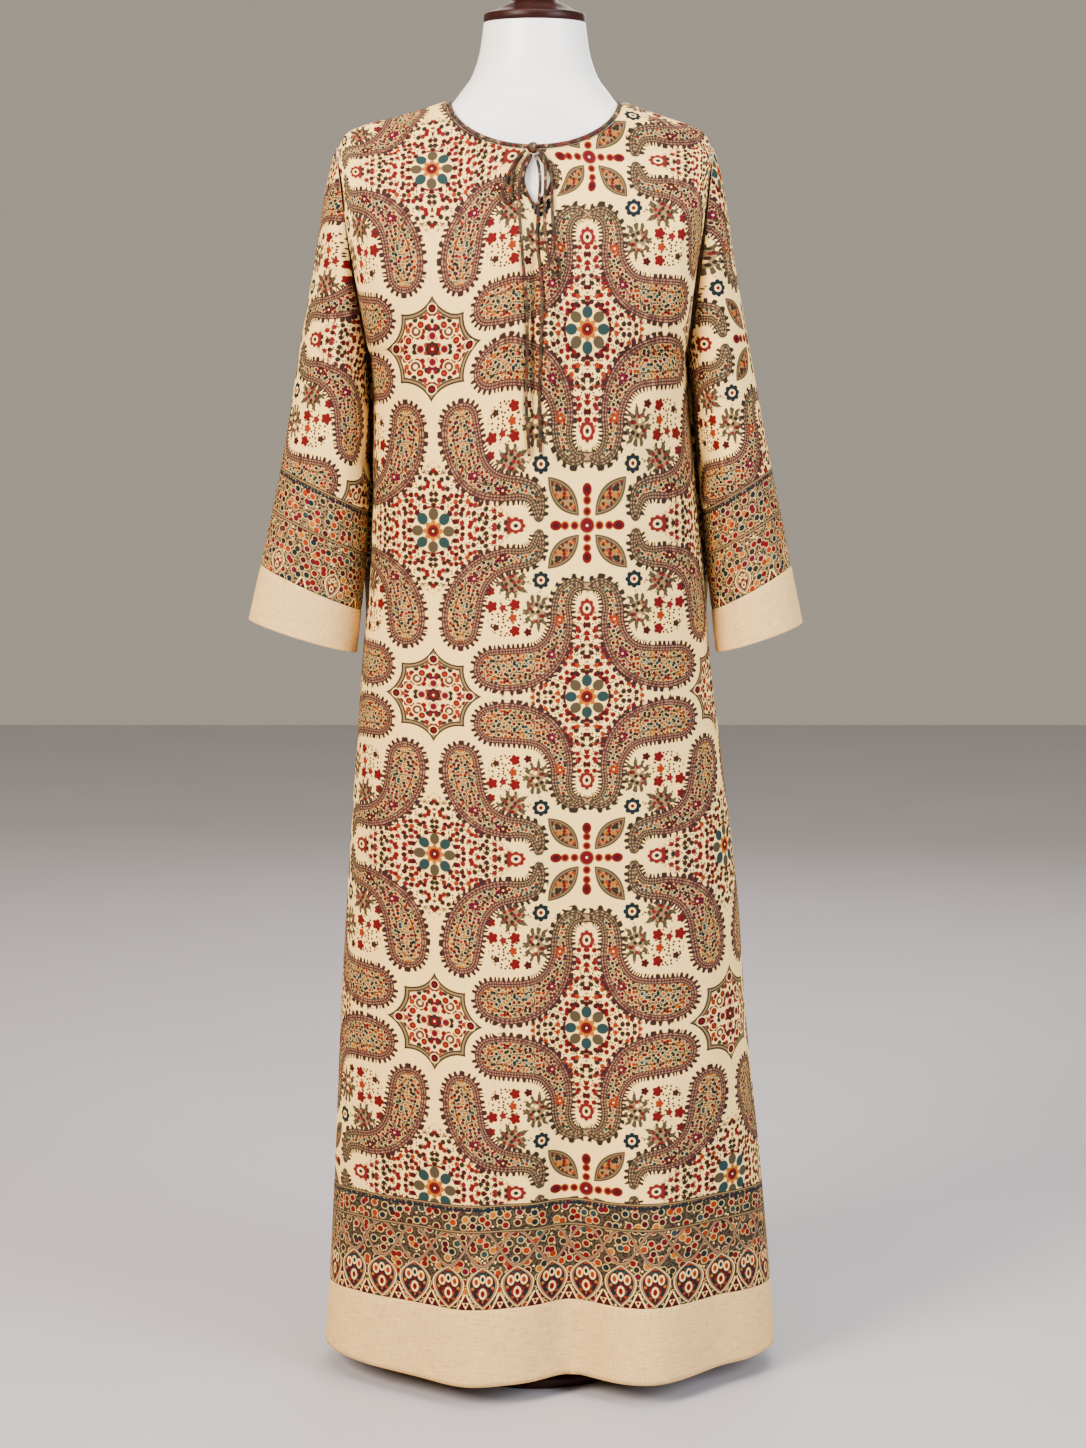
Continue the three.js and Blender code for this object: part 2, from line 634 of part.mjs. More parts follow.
const kaftanOnForm = new THREE.Group();

function place(name, geometry, material) {
  const merged = geometry.clone();
  merged.deleteAttribute('normal');
  if (merged.getAttribute('uv')) merged.deleteAttribute('uv');
  const mesh = new THREE.Mesh(mergeVertices(merged, 1e-4), material);
  mesh.name = name;
  mesh.geometry.computeVertexNormals();
  kaftanOnForm.add(mesh);
  return mesh;
}

for (const face of ['front', 'back']) {
  place(`${face}_panel`, panel(face), printed);
  place(`${face}_hem_band`, hemBand(face), plain);
}
for (const name of ['left', 'right']) {
  place(`${name}_sleeve`, sleeveWall(name, SLEEVE_START, CUFF_START, SLEEVE_ROWS), printed);
  place(`${name}_cuff`, sleeveWall(name, CUFF_START + 0.0012, 1, CUFF_ROWS), plain);
}
place('neck_binding', neckBinding(), printed);
place('keyhole_binding', keyholeBinding(), printed);
place('tie_knot', knot(), printed).position.set(KNOT.x, frontAt(KNOT.x, KNOT.z) - KNOT.depth / 2, KNOT.z);
for (const [name, rows] of Object.entries(TIES)) {
  place(name, cord(tieRoute(rows), rows.length * 3), printed);
}
place('form_torso', formBody(), shellWhite);
place('form_neck_cap', neckCap(), mahogany).position.set(0, FORM[0].y, CAP_Z);
const poleTop = FORM.at(-1).z - SEAM;
const poleLength = poleTop - BASE_HEIGHT - SEAM;
const pole = new THREE.CylinderGeometry(POLE_RADIUS, POLE_RADIUS, poleLength, 20);
place('form_pole', pole.rotateX(HALF_PI), mahogany).position.set(0, 0, poleTop - poleLength / 2);
place('form_base', standBase(), mahogany);

export default kaftanOnForm;
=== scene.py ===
"""A printed cotton kaftan on a dress form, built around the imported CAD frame.

The frame gives the solids and their places. This script models the cloth as thin draped shells
with their seams and creases, the ties as cords, the form as a smooth shell, and gives every
surface its material. Tables are in millimetres, in the frame's own axes: +Z up, front at -Y.
"""
import math

import bmesh
import bpy
import numpy as np
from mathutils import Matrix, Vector


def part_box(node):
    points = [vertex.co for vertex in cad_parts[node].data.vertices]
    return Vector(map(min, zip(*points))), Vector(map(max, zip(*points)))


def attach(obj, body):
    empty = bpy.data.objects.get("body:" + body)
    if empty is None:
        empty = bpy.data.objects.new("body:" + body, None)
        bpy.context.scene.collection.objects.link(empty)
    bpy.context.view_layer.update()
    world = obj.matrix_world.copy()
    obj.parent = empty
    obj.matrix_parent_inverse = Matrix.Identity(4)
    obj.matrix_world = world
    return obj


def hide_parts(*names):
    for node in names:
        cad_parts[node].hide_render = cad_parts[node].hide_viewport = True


MM = 0.001
HALF_PI = math.pi / 2
BODY = "root"

# ---------------------------------------------------------------- driving dimensions

# They are the same as in CAD, unless a comment says otherwise.

SEAM = 0.3
HEM_Z = 25
BAND_HEIGHT = 84
BAND_DROP = 16
UNDERARM_Z = 1128
SHOULDER_Z = 1350
NECK_HALF = 95
NECK_Z = 1399
NECK_DROP = {"front": 56, "back": 12}
ARMHOLE_DEPTH = {"front": 62, "back": 58}
REST_OUT = 3.4
REST_UP = 4.4
SHOULDER_ROUND = 95
SLEEVE_START = 0.004
CUFF_START = 0.865
CUFF_GAP = 0.0012
SIDES = {"left": -1, "right": 1}

# The gown's cross-sections: height, left edge, right edge, middle, depths and pointedness.
# At heights 883 to 1078 the edges stand 1 to 2.5 mm further out than in CAD.
GOWN_COLUMNS = ("z", "left", "right", "middle", "front", "back", "point")
GOWN = (
    (25, -237, 271, 18, 172, 158, 1.05),
    (108, -231, 264, 17, 169, 154, 1.02),
    (239, -224, 252, 14, 165, 149, 1),
    (411, -216, 234, 11, 159, 141, 0.96),
    (524, -209, 226, 9, 155, 136, 0.94),
    (681, -198, 207, 6, 149, 130, 0.91),
    (803, -189, 192, 3, 144, 126, 0.88),
    (883, -181, 186, 1, 141, 122, 0.87),
    (981, -177, 176.5, 0, 137, 117, 0.86),
    (1078, -176, 168, 0, 134, 115, 0.85),
    (1128, -180, 165, 0, 132, 117, 0.85),
    (1209, -192, 172, 0, 125, 118, 0.85),
    (1269, -202, 181, 0, 112, 113, 0.85),
    (1309, -206, 186, 0, 98, 104, 0.85),
    (1350, -212, 191, 0, 82, 92, 0.85),
    (1405, -212, 191, 0, 70, 72, 0.85),
)
SHOULDER_COLUMNS = ("along", "z")
SHOULDER = ((0, 1399), (0.2, 1391.5), (0.55, 1380), (0.8, 1372), (0.93, 1364), (1, 1350))

# Soft folds that run down to the hem: place, how far out, half width and top.
FOLDS = {
    "front": ((-76, 22, 44, 760), (38, -36, 36, 900), (132, 22, 44, 700), (205, -8, 24, 560)),
    "back": (
        (-150, 9, 30, 620),
        (-88, -22, 30, 820),
        (-14, 12, 40, 700),
        (66, -28, 32, 900),
        (150, 12, 38, 660),
    ),
}
FOLD_FADE = 1.3  # how quickly a fold grows towards the hem
FOLD_SIDE = 5  # how quickly it grows from the side seam
KEYHOLE_COLUMNS = ("z", "left", "right")
KEYHOLE = (
    (1280, 0, 0),
    (1289, 6, 9),
    (1300, 11, 17),
    (1311, 13.5, 20),
    (1323, 11.5, 16),
    (1334, 6, 8),
    (1343, 3, 3),
)
KEYHOLE_Z = KEYHOLE[0][0]
KEYHOLE_TOP = KEYHOLE[-1][0]

SLEEVE_COLUMNS = ("along", "x", "z", "underX", "underZ", "front", "back", "y")
SLEEVES = {
    "left": (
        (0, -214.6, 1351, -181.2, 1127, 62, 58, 0),
        (0.08, -224.5, 1313, -181, 1106, 65, 62, 0),
        (0.26, -241, 1215, -180, 1056, 66, 64, -1),
        (0.43, -256.5, 1127, -180, 1002, 62, 60, -4),
        (0.63, -274, 1022, -182, 934, 55, 54, -8),
        (0.82, -295, 921, -188, 866, 52, 51, -12),
        (1, -313.5, 840, -195, 803, 52, 51, -16),
    ),
    "right": (
        (0, 193.6, 1351, 166.2, 1127, 62, 58, 0),
        (0.08, 203.5, 1313, 168.5, 1106, 65, 62, 0),
        (0.26, 219, 1215, 173, 1056, 66, 64, -1),
        (0.43, 235, 1127, 178, 1002, 62, 60, -4),
        (0.63, 255, 1022, 184.5, 934, 55, 54, -8),
        (0.82, 276, 921, 191.5, 866, 52, 51, -12),
        (1, 293.5, 836, 198.5, 804, 52, 51, -16),
    ),
}

FORM_COLUMNS = ("z", "half", "front", "back", "y")
FORM = (
    (1482.5, 55, 55, 55, 12),
    (1453, 59, 58, 59, 10),
    (1425, 68, 62, 65, 7),
    (1408, 80, 65, 69, 4),
    (1395, 90, 67, 71, 0),
    (1386, 107, 69, 73, 0),
    (1374, 139, 72, 77, 0),
    (1365, 163, 74, 80, 0),
    (1353, 177, 76, 85, 0),
    (1334, 182, 81, 91, 0),
    (1299, 181, 94, 101, 0),
    (1252, 176, 108, 108, 0),
    (1195, 166, 119, 111, 0),
    (1125, 155, 122, 106, 0),
    (1045, 140, 104, 94, 0),
    (965, 130, 94, 88, 0),
    (865, 152, 104, 104, 0),
    (765, 168, 112, 112, 0),
    (690, 166, 110, 110, 0),
)

# The ties: x, height and lift off the cloth, from the knot to each end.
CORD = 3.5
CORD_LIFT = 3
KNOT = {"x": -1.5, "z": 1344, "width": 13, "height": 12, "depth": 9}
TIES = {
    "tie_loop_left": (
        (-9.5, 1341, 4), (-17, 1334, 4), (-24, 1323, 2.4), (-30, 1309, 0.6), (-34, 1298, 0),
        (-33, 1288.5, 0), (-28, 1286, 0), (-25, 1293, 0), (-24.4, 1304, 0), (-23, 1316, 0.6),
        (-18.6, 1328, 1), (-12, 1337, 1.4),
    ),
    "tie_tail_left": (
        (-6, 1335.6, 4), (-12.2, 1325, 4.6), (-15, 1311, 3.6), (-16.2, 1293, 1.4),
        (-15.4, 1270, 0), (-13.2, 1243, 0), (-12, 1226, 0), (-9.8, 1204, 0), (-8, 1178, 0),
        (-7.4, 1150, 0), (-7.8, 1112, 0), (-8.6, 1078, 0), (-6.8, 1046, 0), (-5.4, 1021, 0),
    ),
    "tie_tail_right": (
        (1.2, 1335.6, 4), (5, 1322, 4.6), (6, 1305, 4), (4.6, 1286, 2), (3.2, 1262, 0),
        (2.8, 1243, 0), (5.4, 1221, 0), (7.4, 1203, 0), (8.2, 1184, 0), (7.6, 1150, 0),
        (5.8, 1112, 0), (5, 1080, 0), (6.2, 1050, 0), (6, 1025, 0),
    ),
    "tie_loop_right": (
        (4.6, 1341.6, 5.4), (9.6, 1333, 5.6), (11.6, 1318, 4.6), (11, 1294, 1.8),
        (10.6, 1268, 0), (12.2, 1247, 0), (14.6, 1230, 0), (18, 1218, 0), (20.6, 1210, 0),
        (24, 1206.5, 0), (27, 1210.5, 0), (26, 1221, 0), (22.8, 1240, 0), (19.4, 1264, 0),
        (18.6, 1290, 0), (18, 1312, 1), (13.6, 1329, 1.2), (8.4, 1339, 1.6),
    ),
}

# The bindings, finer than in CAD: how far they stand in from the cloth's edge, their section,
# and how near to the knot's middle the neck's one ends on each side.
NECK_BINDING = {"lift": 1.1, "rise": 2.5, "thick": 3.0, "tall": 5.2}
KEYHOLE_BINDING = {"rise": 1.7, "thick": 2.0, "tall": 3.4}
NECK_LEGS = (
    ("front", "left", "middle", "shoulder"),
    ("back", "left", "shoulder", "middle"),
    ("back", "right", "middle", "shoulder"),
    ("front", "right", "shoulder", "middle"),
)
KNOT_ROOM = {"left": 4.6, "right": 0.8}
NECK_STEPS = 40
NECK_EASING = 4
KEYHOLE_STEPS = 24
KEYHOLE_MIDDLE_Z = 1312
STRIP_SIDES = 16

# ---------------------------------------------------------------- curves through the tables


class Curve:
    """A smooth curve through one column of a table, without overshoot."""

    def __init__(self, rows, names, key, column):
        rows = sorted(rows, key=lambda row: row[names.index(key)])
        self.keys = np.array([row[names.index(key)] for row in rows], float)
        self.values = np.array([row[names.index(column)] for row in rows], float)
        slopes = np.diff(self.values) / np.diff(self.keys)
        product = slopes[:-1] * slopes[1:]
        total = np.where(product > 0, slopes[:-1] + slopes[1:], 1)
        inner = np.where(product > 0, 2 * product / total, 0)
        self.tangents = np.concatenate([slopes[:1], inner, slopes[-1:]])

    def __call__(self, at):
        i = np.clip(np.searchsorted(self.keys, at, side="right") - 1, 0, len(self.keys) - 2)
        width = self.keys[i + 1] - self.keys[i]
        t = np.clip((at - self.keys[i]) / width, 0, 1)
        low, high = self.values[i], self.values[i + 1]
        start = t * (1 - t) ** 2 * self.tangents[i] * width
        end = t * t * (t - 1) * self.tangents[i + 1] * width
        return low + (high - low) * t * t * (3 - 2 * t) + start + end


def curves(rows, names):
    """Every column of a table as a curve over its first column."""
    return {name: Curve(rows, names, names[0], name) for name in names[1:]}


gown = curves(GOWN, GOWN_COLUMNS)
shoulder = curves(SHOULDER, SHOULDER_COLUMNS)
keyhole = curves(KEYHOLE, KEYHOLE_COLUMNS)
form = curves(FORM, FORM_COLUMNS)
sleeves = {name: curves(rows, SLEEVE_COLUMNS) for name, rows in SLEEVES.items()}


def smoothstep(low, high, value):
    t = np.clip((value - low) / (high - low), 0, 1)
    return t * t * (3 - 2 * t)


# ---------------------------------------------------------------- the draped shape of the cloth


def reach(side, z):
    """Half the gown's width on one side of its middle."""
    return abs(gown[side](z) - gown["middle"](z))


def neck_share(side):
    """The share of the half width at which the neck hole meets the shoulder seam."""
    return math.asin(NECK_HALF / reach(side, SHOULDER_Z)) / HALF_PI


def rest_out(face, x, z):
    """How far the cloth's outer face stands out where it rests on the dress form."""
    low = z - REST_UP
    across = np.abs(x) / (form["half"](low) + REST_OUT)
    depth = (form[face](low) + REST_OUT) * np.sqrt(np.clip(1 - across**2, 0, 1))
    out = depth + (-1 if face == "front" else 1) * form["y"](low)
    return np.where(across >= 1, 0, out)


def panel_top(face, side, share):
    """Height and depth of a panel's top edge: the neck hole, then the shoulder seam."""
    widest = reach(side, SHOULDER_Z)
    across = widest * np.sin(share * HALF_PI)
    hole = np.sqrt(np.clip(1 - (across / NECK_HALF) ** 2, 0, 1))
    neck_z = NECK_Z - NECK_DROP[face] * hole
    along = np.clip((across - NECK_HALF) / (widest - NECK_HALF), 0, 1)
    at_neck = across < NECK_HALF
    z = np.where(at_neck, neck_z, shoulder["z"](along))
    y = np.where(at_neck, rest_out(face, across, neck_z), 0)
    return z, y


def fold_at(face, x, z):
    """How far the long folds move a point of the cloth outwards."""
    out = 0
    for place, height, half, top in FOLDS[face]:
        fade = np.clip((top - z) / (top - HEM_Z), 0, 1) ** FOLD_FADE
        out = out + height * np.exp(-(((x - place) / half) ** 2)) * fade
    return out


def gown_points(face, side, share, z):
    """Points of the gown's outer face, on one side of the middle."""
    share, z = np.broadcast_arrays(np.asarray(share, float), np.asarray(z, float))
    x = gown["middle"](z) + SIDES[side] * reach(side, z) * np.sin(share * HALF_PI)
    crown = np.clip(np.cos(share * HALF_PI), 0, 1) ** gown["point"](z)
    depth = gown[face](z)
    top_z, top_y = panel_top(face, side, share)
    up = np.clip((z - UNDERARM_Z) / (SHOULDER_Z - UNDERARM_Z), 0, 1)
    hole = ARMHOLE_DEPTH[face] * np.sqrt(4 * up * (1 - up))
    high = hole + (depth - hole) * crown
    over = SHOULDER_ROUND * (1 - share**8) + SEAM
    under = np.clip((top_z - z) / over, 0, 1)
    high = top_y + (high - top_y) * np.sqrt(1 - (1 - under) ** 2)
    high = np.where(z < top_z, np.maximum(high, rest_out(face, x, z)), high)
    out = np.where(z > UNDERARM_Z, high, depth * crown)
    out = out + fold_at(face, x, z) * np.minimum(1, (1 - share) * FOLD_SIDE)
    if face == "front":
        spread = np.where(z > KEYHOLE_Z, keyhole[side](np.minimum(z, KEYHOLE_TOP)), 0)
        x = x + SIDES[side] * spread * (1 - share) ** 6
    y = (-1 if face == "front" else 1) * np.maximum(out, SEAM / 2)
    return np.stack([x, y, z], axis=-1)


def band_top(share):
    """Height of the seam between the hem band and the panel."""
    return HEM_Z + BAND_HEIGHT - BAND_DROP * share**2


def sleeve_points(name, along, turn):
    """Points of a sleeve's outer face; turn runs from the top edge over the front and back."""
    value = {column: curve(along) for column, curve in sleeves[name].items()}
    share = (1 + np.cos(turn)) / 2
    depth = np.where(np.sin(turn) > 0, -value["front"], value["back"])
    x = value["underX"] + (value["x"] - value["underX"]) * share
    y = value["y"] + depth * np.abs(np.sin(turn))
    z = value["underZ"] + (value["z"] - value["underZ"]) * share
    return np.stack([x, y, z], axis=-1)


def front_depth(x, z):
    """The front's outward depth at a place given by x and height."""
    middle = gown["middle"](z)
    side = "left" if x < middle else "right"
    share = math.asin(min(1, abs(x - middle) / reach(side, z))) / HALF_PI
    top_z, _ = panel_top("front", side, np.array(share))
    return float(gown_points("front", side, share, min(z, float(top_z)))[..., 1])


# ---------------------------------------------------------------- creases

# Soft creases: start x, z, end x, z, half width, how far out. Negative ones are troughs.
CREASES = {
    "front": (
        (1, 1325, 1, 1010, 30, 6), (1, 1325, -2, 1010, 6.5, -6.4), (-18, 1325, -21, 1010, 8, 7),
        (18, 1325, 15, 1010, 8, 7.5), (-178, 1300, -150, 1160, 10, 3),
        (-166, 1280, -142, 1120, 9, -2.4), (158, 1292, 140, 1160, 10, 3),
        (150, 1250, 126, 1120, 9, -2.2), (-150, 1140, -96, 1052, 16, 3.2),
        (148, 1130, 96, 1040, 16, 3.2), (-160, 1080, -110, 950, 18, -3),
        (150, 1078, 112, 960, 17, -3), (-60, 980, -72, 700, 22, 3),
        (96, 1000, 122, 640, 24, 3.4), (20, 1010, 34, 780, 22, -3.4),
        (-140, 860, -160, 420, 18, 3), (-120, 700, -130, 300, 15, -3.4),
        (84, 640, 88, 260, 16, -3), (178, 620, 198, 240, 17, 3), (-30, 520, -34, 130, 18, -3),
        (0, 420, 4, 60, 16, 2.4), (-190, 360, -200, 60, 14, -3), (232, 340, 240, 60, 14, -2.6),
    ),
    "back": (
        (0, 1340, 4, 1120, 20, -3), (-166, 1185, -168, 800, 19, 17),
        (165, 1185, 170, 800, 19, 19), (-120, 1330, -86, 1150, 14, 3.2),
        (116, 1326, 84, 1150, 14, 3.2), (-166, 1250, -120, 1090, 12, -3),
        (154, 1244, 112, 1080, 12, -3), (-60, 1060, -70, 700, 22, 3.4),
        (60, 1040, 72, 680, 22, 3.2), (8, 960, 10, 560, 20, -3.2),
        (-130, 820, -152, 380, 17, -3.4), (140, 800, 160, 360, 17, -3.2),
        (-180, 520, -196, 80, 15, 3), (184, 500, 214, 80, 15, 3), (-40, 420, -46, 60, 16, 2.6),
        (100, 380, 104, 60, 15, 2.6),
    ),
}

# Creases round a sleeve: share along, turn in degrees, along and turn extents, how far out.
SLEEVE_CREASES = {
    "left": (
        (0.1, 70, 0.05, 26, 3.2), (0.19, 120, 0.06, 22, -3), (0.3, 100, 0.05, 34, 3),
        (0.42, 150, 0.05, 34, -3.4), (0.5, 118, 0.04, 40, 2.6), (0.62, 140, 0.05, 30, -2.4),
        (0.16, -100, 0.06, 30, 3), (0.34, -120, 0.05, 36, -3), (0.5, -90, 0.06, 34, 2.8),
        (0.7, -60, 0.09, 18, -2),
    ),
    "right": (
        (0.12, 66, 0.05, 26, 3), (0.22, 116, 0.06, 24, -3), (0.33, 92, 0.05, 32, 2.8),
        (0.45, 144, 0.05, 32, -3.2), (0.56, 112, 0.05, 36, 2.6), (0.68, 132, 0.05, 28, -2.2),
        (0.18, -96, 0.06, 28, 2.8), (0.36, -116, 0.05, 34, -3), (0.54, -92, 0.06, 32, 2.6),
        (0.72, -58, 0.09, 18, -2),
    ),
}
SEAM_DIP = 0.8
SEAM_DIP_WIDTH = 3.2
# Round the keyhole the cloth lies flat: where the creases start and end to come, and a squash.
KEYHOLE_CALM = (29, 42)
KEYHOLE_SQUASH = 0.8
# A crease bows to both sides along its way, and fades at its start and end.
CREASE_BOW, CREASE_WAVE = 0.12, 9
CREASE_START, CREASE_END = (-0.12, 0.3), (1.12, 0.66)
SLEEVE_CREASE_TILT = 0.035


def crease_at(face, x, z):
    """How far the creases move a point of a panel outwards."""
    out = np.zeros_like(x)
    for x0, z0, x1, z1, half, height in CREASES[face]:
        span = np.array([x1 - x0, z1 - z0], float)
        length = np.hypot(*span)
        along = ((x - x0) * span[0] + (z - z0) * span[1]) / length**2
        across = ((x - x0) * span[1] - (z - z0) * span[0]) / length
        bow = CREASE_BOW * half * np.sin(np.clip(along, 0, 1) * CREASE_WAVE + x0)
        ends = smoothstep(*CREASE_START, along) * smoothstep(*CREASE_END, along)
        out += height * np.exp(-(((across + bow) / half) ** 2)) * ends
    return out


def keyhole_calm(x, z):
    """Share of the creases that is left near the keyhole, whose edge lies flat."""
    return smoothstep(*KEYHOLE_CALM, np.hypot(x, (z - KEYHOLE_MIDDLE_Z) * KEYHOLE_SQUASH))


def sleeve_crease_at(name, along, turn):
    """How far the creases move a point of a sleeve outwards."""
    out = np.zeros_like(along)
    for place, degrees, extent, spread, height in SLEEVE_CREASES[name]:
        away = np.angle(np.exp(1j * (turn - math.radians(degrees))))
        tilt = (along - place) + SLEEVE_CREASE_TILT * away
        out += height * np.exp(-((tilt / extent) ** 2) - (away / math.radians(spread)) ** 2)
    return out


# ---------------------------------------------------------------- where the print lies

# The print is a symmetrical paisley repeat. Its quarter cell runs from a cross flower (0, 0) to
# a star (CELL_WIDE, CELL_HIGH), in units of the design: one unit is UNIT mm of cloth.
UNIT = 1.06
CELL_WIDE = 154
CELL_HIGH = 168
PRINT_X = {"front": 55.6, "back": -20}
# Heights of the rows of cross flowers and rosettes, in turn, on the right and on the left.
PRINT_Z = (234, 410, 595, 767, 948, 1154, 1339)
LEFT_PRINT_Z = (236, 417, 597, 767, 941, 1133, 1326)
# Places across where the right rows' heights give way to the left rows'.
PRINT_TURNS = (-20, -90)
# Above this height the print follows the slope of the shoulders.
PRINT_LEAN_Z = 1290
FIRST_ROW = -2  # the lowest row's number, counted from the row at 0

# Spines of the two paisleys in the quarter cell: across, down and half width.
PAISLEYS = (
    (
        (126, 100, 18), (126, 90, 19.8), (124, 78, 20), (120, 64, 18.5), (112, 50, 16.5),
        (99, 39, 14), (82, 33, 12), (66, 32, 10.5), (54, 28, 9.5), (49, 18, 7.5), (48, 8, 5.2),
    ),
    (
        (93, 140, 20), (80, 141, 21.5), (63, 139, 20.5), (48, 134, 18), (36, 124, 15),
        (28, 109, 12.8), (25, 94, 11.5), (25.5, 80, 10.5), (22, 66, 9.5), (13, 58, 7.5),
        (4, 59, 5),
    ),
)


def catmull_rom(points, steps):
    """A smooth line through points, with that many steps between each two."""
    points = np.array(points, float)
    padded = np.vstack([2 * points[0] - points[1], points, 2 * points[-1] - points[-2]])
    line = []
    for i in range(len(points) - 1):
        p0, p1, p2, p3 = padded[i : i + 4]
        for t in np.arange(steps) / steps:
            square = (2 * p0 - 5 * p1 + 4 * p2 - p3) * t**2
            cube = (3 * p1 - p0 - 3 * p2 + p3) * t**3
            line.append(0.5 * (2 * p1 + (p2 - p0) * t + square + cube))
    line.append(points[-1])
    return np.array(line)


def pingpong(value, length):
    return np.abs((value + length) % (2 * length) - length)


def print_row(x, z):
    """Height in the design, where 0 is a row of cross flowers and CELL_HIGH a row of rosettes."""
    rows = []
    for heights in (PRINT_Z, LEFT_PRINT_Z):
        numbers = (np.arange(len(heights)) + FIRST_ROW) * CELL_HIGH
        beyond = np.minimum(z - heights[0], 0) + np.maximum(z - heights[-1], 0)
        rows.append(np.interp(z, heights, numbers) + beyond / UNIT)
    leftness = 1 - smoothstep(PRINT_TURNS[1], PRINT_TURNS[0], x)
    return rows[0] + (rows[1] - rows[0]) * leftness


def paisley_field(u, v):
    """Distance to the nearest paisley's edge, place along its edge, and place along its spine."""
    a, b = pingpong(u, CELL_WIDE), pingpong(v, CELL_HIGH)
    best = np.full(a.shape, 1e9)
    edge = np.zeros(a.shape)
    share = np.zeros(a.shape)
    for spine in PAISLEYS:
        line = catmull_rom(spine, 4)
        steps = np.diff(line[:, :2], axis=0)
        lengths = np.hypot(steps[:, 0], steps[:, 1])
        arc = np.concatenate([[0], np.cumsum(lengths)])
        for i, (step, length) in enumerate(zip(steps, lengths)):
            dx, dy = a - line[i, 0], b - line[i, 1]
            raw = (dx * step[0] + dy * step[1]) / length**2
            t = np.clip(raw, 0, 1)
            away = np.hypot(dx - t * step[0], dy - t * step[1])
            radius = line[i, 2] + (line[i + 1, 2] - line[i, 2]) * t
            place = arc[i] + t * length
            if i == 0:
                behind = np.arctan2(-raw * length, np.abs(dx * step[1] - dy * step[0]) / length)
                place = np.where(raw < 0, -behind * radius, place)
            nearer = away - radius < best
            best = np.where(nearer, away - radius, best)
            edge = np.where(nearer, place, edge)
            share = np.where(nearer, np.clip(place / arc[-1], 0, 1), share)
    return np.stack([best, edge, share], axis=-1)


# ---------------------------------------------------------------- meshes


def unit(vectors):
    """Vectors brought to a length of one."""
    return vectors / np.maximum(np.linalg.norm(vectors, axis=-1, keepdims=True), 1e-12)


def grid_normals(points):
    """Unit normals of a grid of points, from its rows and columns."""
    return unit(np.cross(np.gradient(points, axis=1), np.gradient(points, axis=0)))


def even_steps(low, high, step):
    """Even places from low to high, about step apart, with an even number of gaps."""
    count = max(2, 2 * round((high - low) / step / 2))
    return np.linspace(low, high, count + 1)


def round_turn(sides):
    """Even angles once round."""
    return np.arange(sides) * 2 * math.pi / sides


def link_object(name, data):
    piece = bpy.data.objects.new(name, data)
    bpy.context.scene.collection.objects.link(piece)
    return piece


class Sheet:
    """Grids of cloth, each with an outer face, a coarser inner face and the rims between them."""

    def __init__(self, thickness):
        self.thickness = thickness
        self.vertices = []
        self.faces = []
        self.inner_from = []
        self.fields = {}
        self.count = 0

    def add(self, points, normals, fields, rims, outward):
        """rims maps an edge (low, high, left, right) to the row or column where its rim starts."""
        rows, columns = points.shape[:2]
        inner = (points - normals * self.thickness)[::2, ::2]
        outer_ids = self.count + np.arange(rows * columns).reshape(rows, columns)
        inner_ids = np.arange(inner.shape[0] * inner.shape[1]).reshape(inner.shape[:2])
        inner_ids = inner_ids + self.count + rows * columns
        self.vertices += [points.reshape(-1, 3), inner.reshape(-1, 3)]
        for name, values in fields.items():
            parts = [values.reshape(-1, 3), values[::2, ::2].reshape(-1, 3)]
            self.fields.setdefault(name, []).extend(parts)
        self.count += rows * columns + inner_ids.size
        self._quads(outer_ids, outward, False)
        self._quads(inner_ids, not outward, True)
        edges = {
            "low": (outer_ids[0], inner_ids[0], True),
            "high": (outer_ids[-1], inner_ids[-1], False),
            "left": (outer_ids[:, 0], inner_ids[:, 0], False),
            "right": (outer_ids[:, -1], inner_ids[:, -1], True),
        }
        for name, start in rims.items():
            outer_edge, inner_edge, forward = edges[name]
            for i in range(start, len(outer_edge) - 1, 2):
                fine = [outer_edge[i], outer_edge[i + 1], outer_edge[i + 2]]
                face = fine + [inner_edge[i // 2 + 1], inner_edge[i // 2]]
                self._face(face, forward != outward, True)

    def _quads(self, ids, forward, inner):
        for r in range(ids.shape[0] - 1):
            for c in range(ids.shape[1] - 1):
                face = [ids[r, c], ids[r, c + 1], ids[r + 1, c + 1], ids[r + 1, c]]
                self._face(face, forward, inner)

    def _face(self, face, forward, inner):
        self.faces.append([int(k) for k in (face if forward else face[::-1])])
        self.inner_from.append(inner)

    def build(self, name, materials):
        mesh = bpy.data.meshes.new(name)
        vertices = np.concatenate(self.vertices) * MM
        mesh.from_pydata(vertices.tolist(), [], self.faces)
        corners = np.zeros(len(mesh.loops), np.int32)
        mesh.loops.foreach_get("vertex_index", corners)
        for field, parts in self.fields.items():
            attribute = mesh.attributes.new(field, "FLOAT_VECTOR", "CORNER")
            values = np.concatenate(parts)[corners].astype(np.float32)
            attribute.data.foreach_set("vector", values.ravel())
        for material in materials:
            mesh.materials.append(material)
        slots = np.array(self.inner_from, np.int32) * (len(materials) - 1)
        mesh.polygons.foreach_set("material_index", slots)
        work = bmesh.new()
        work.from_mesh(mesh)
        bmesh.ops.remove_doubles(work, verts=work.verts, dist=WELD * MM)
        work.to_mesh(mesh)
        work.free()
        mesh.polygons.foreach_set("use_smooth", [True] * len(mesh.polygons))
        mesh.update()
        return link_object(name, mesh)


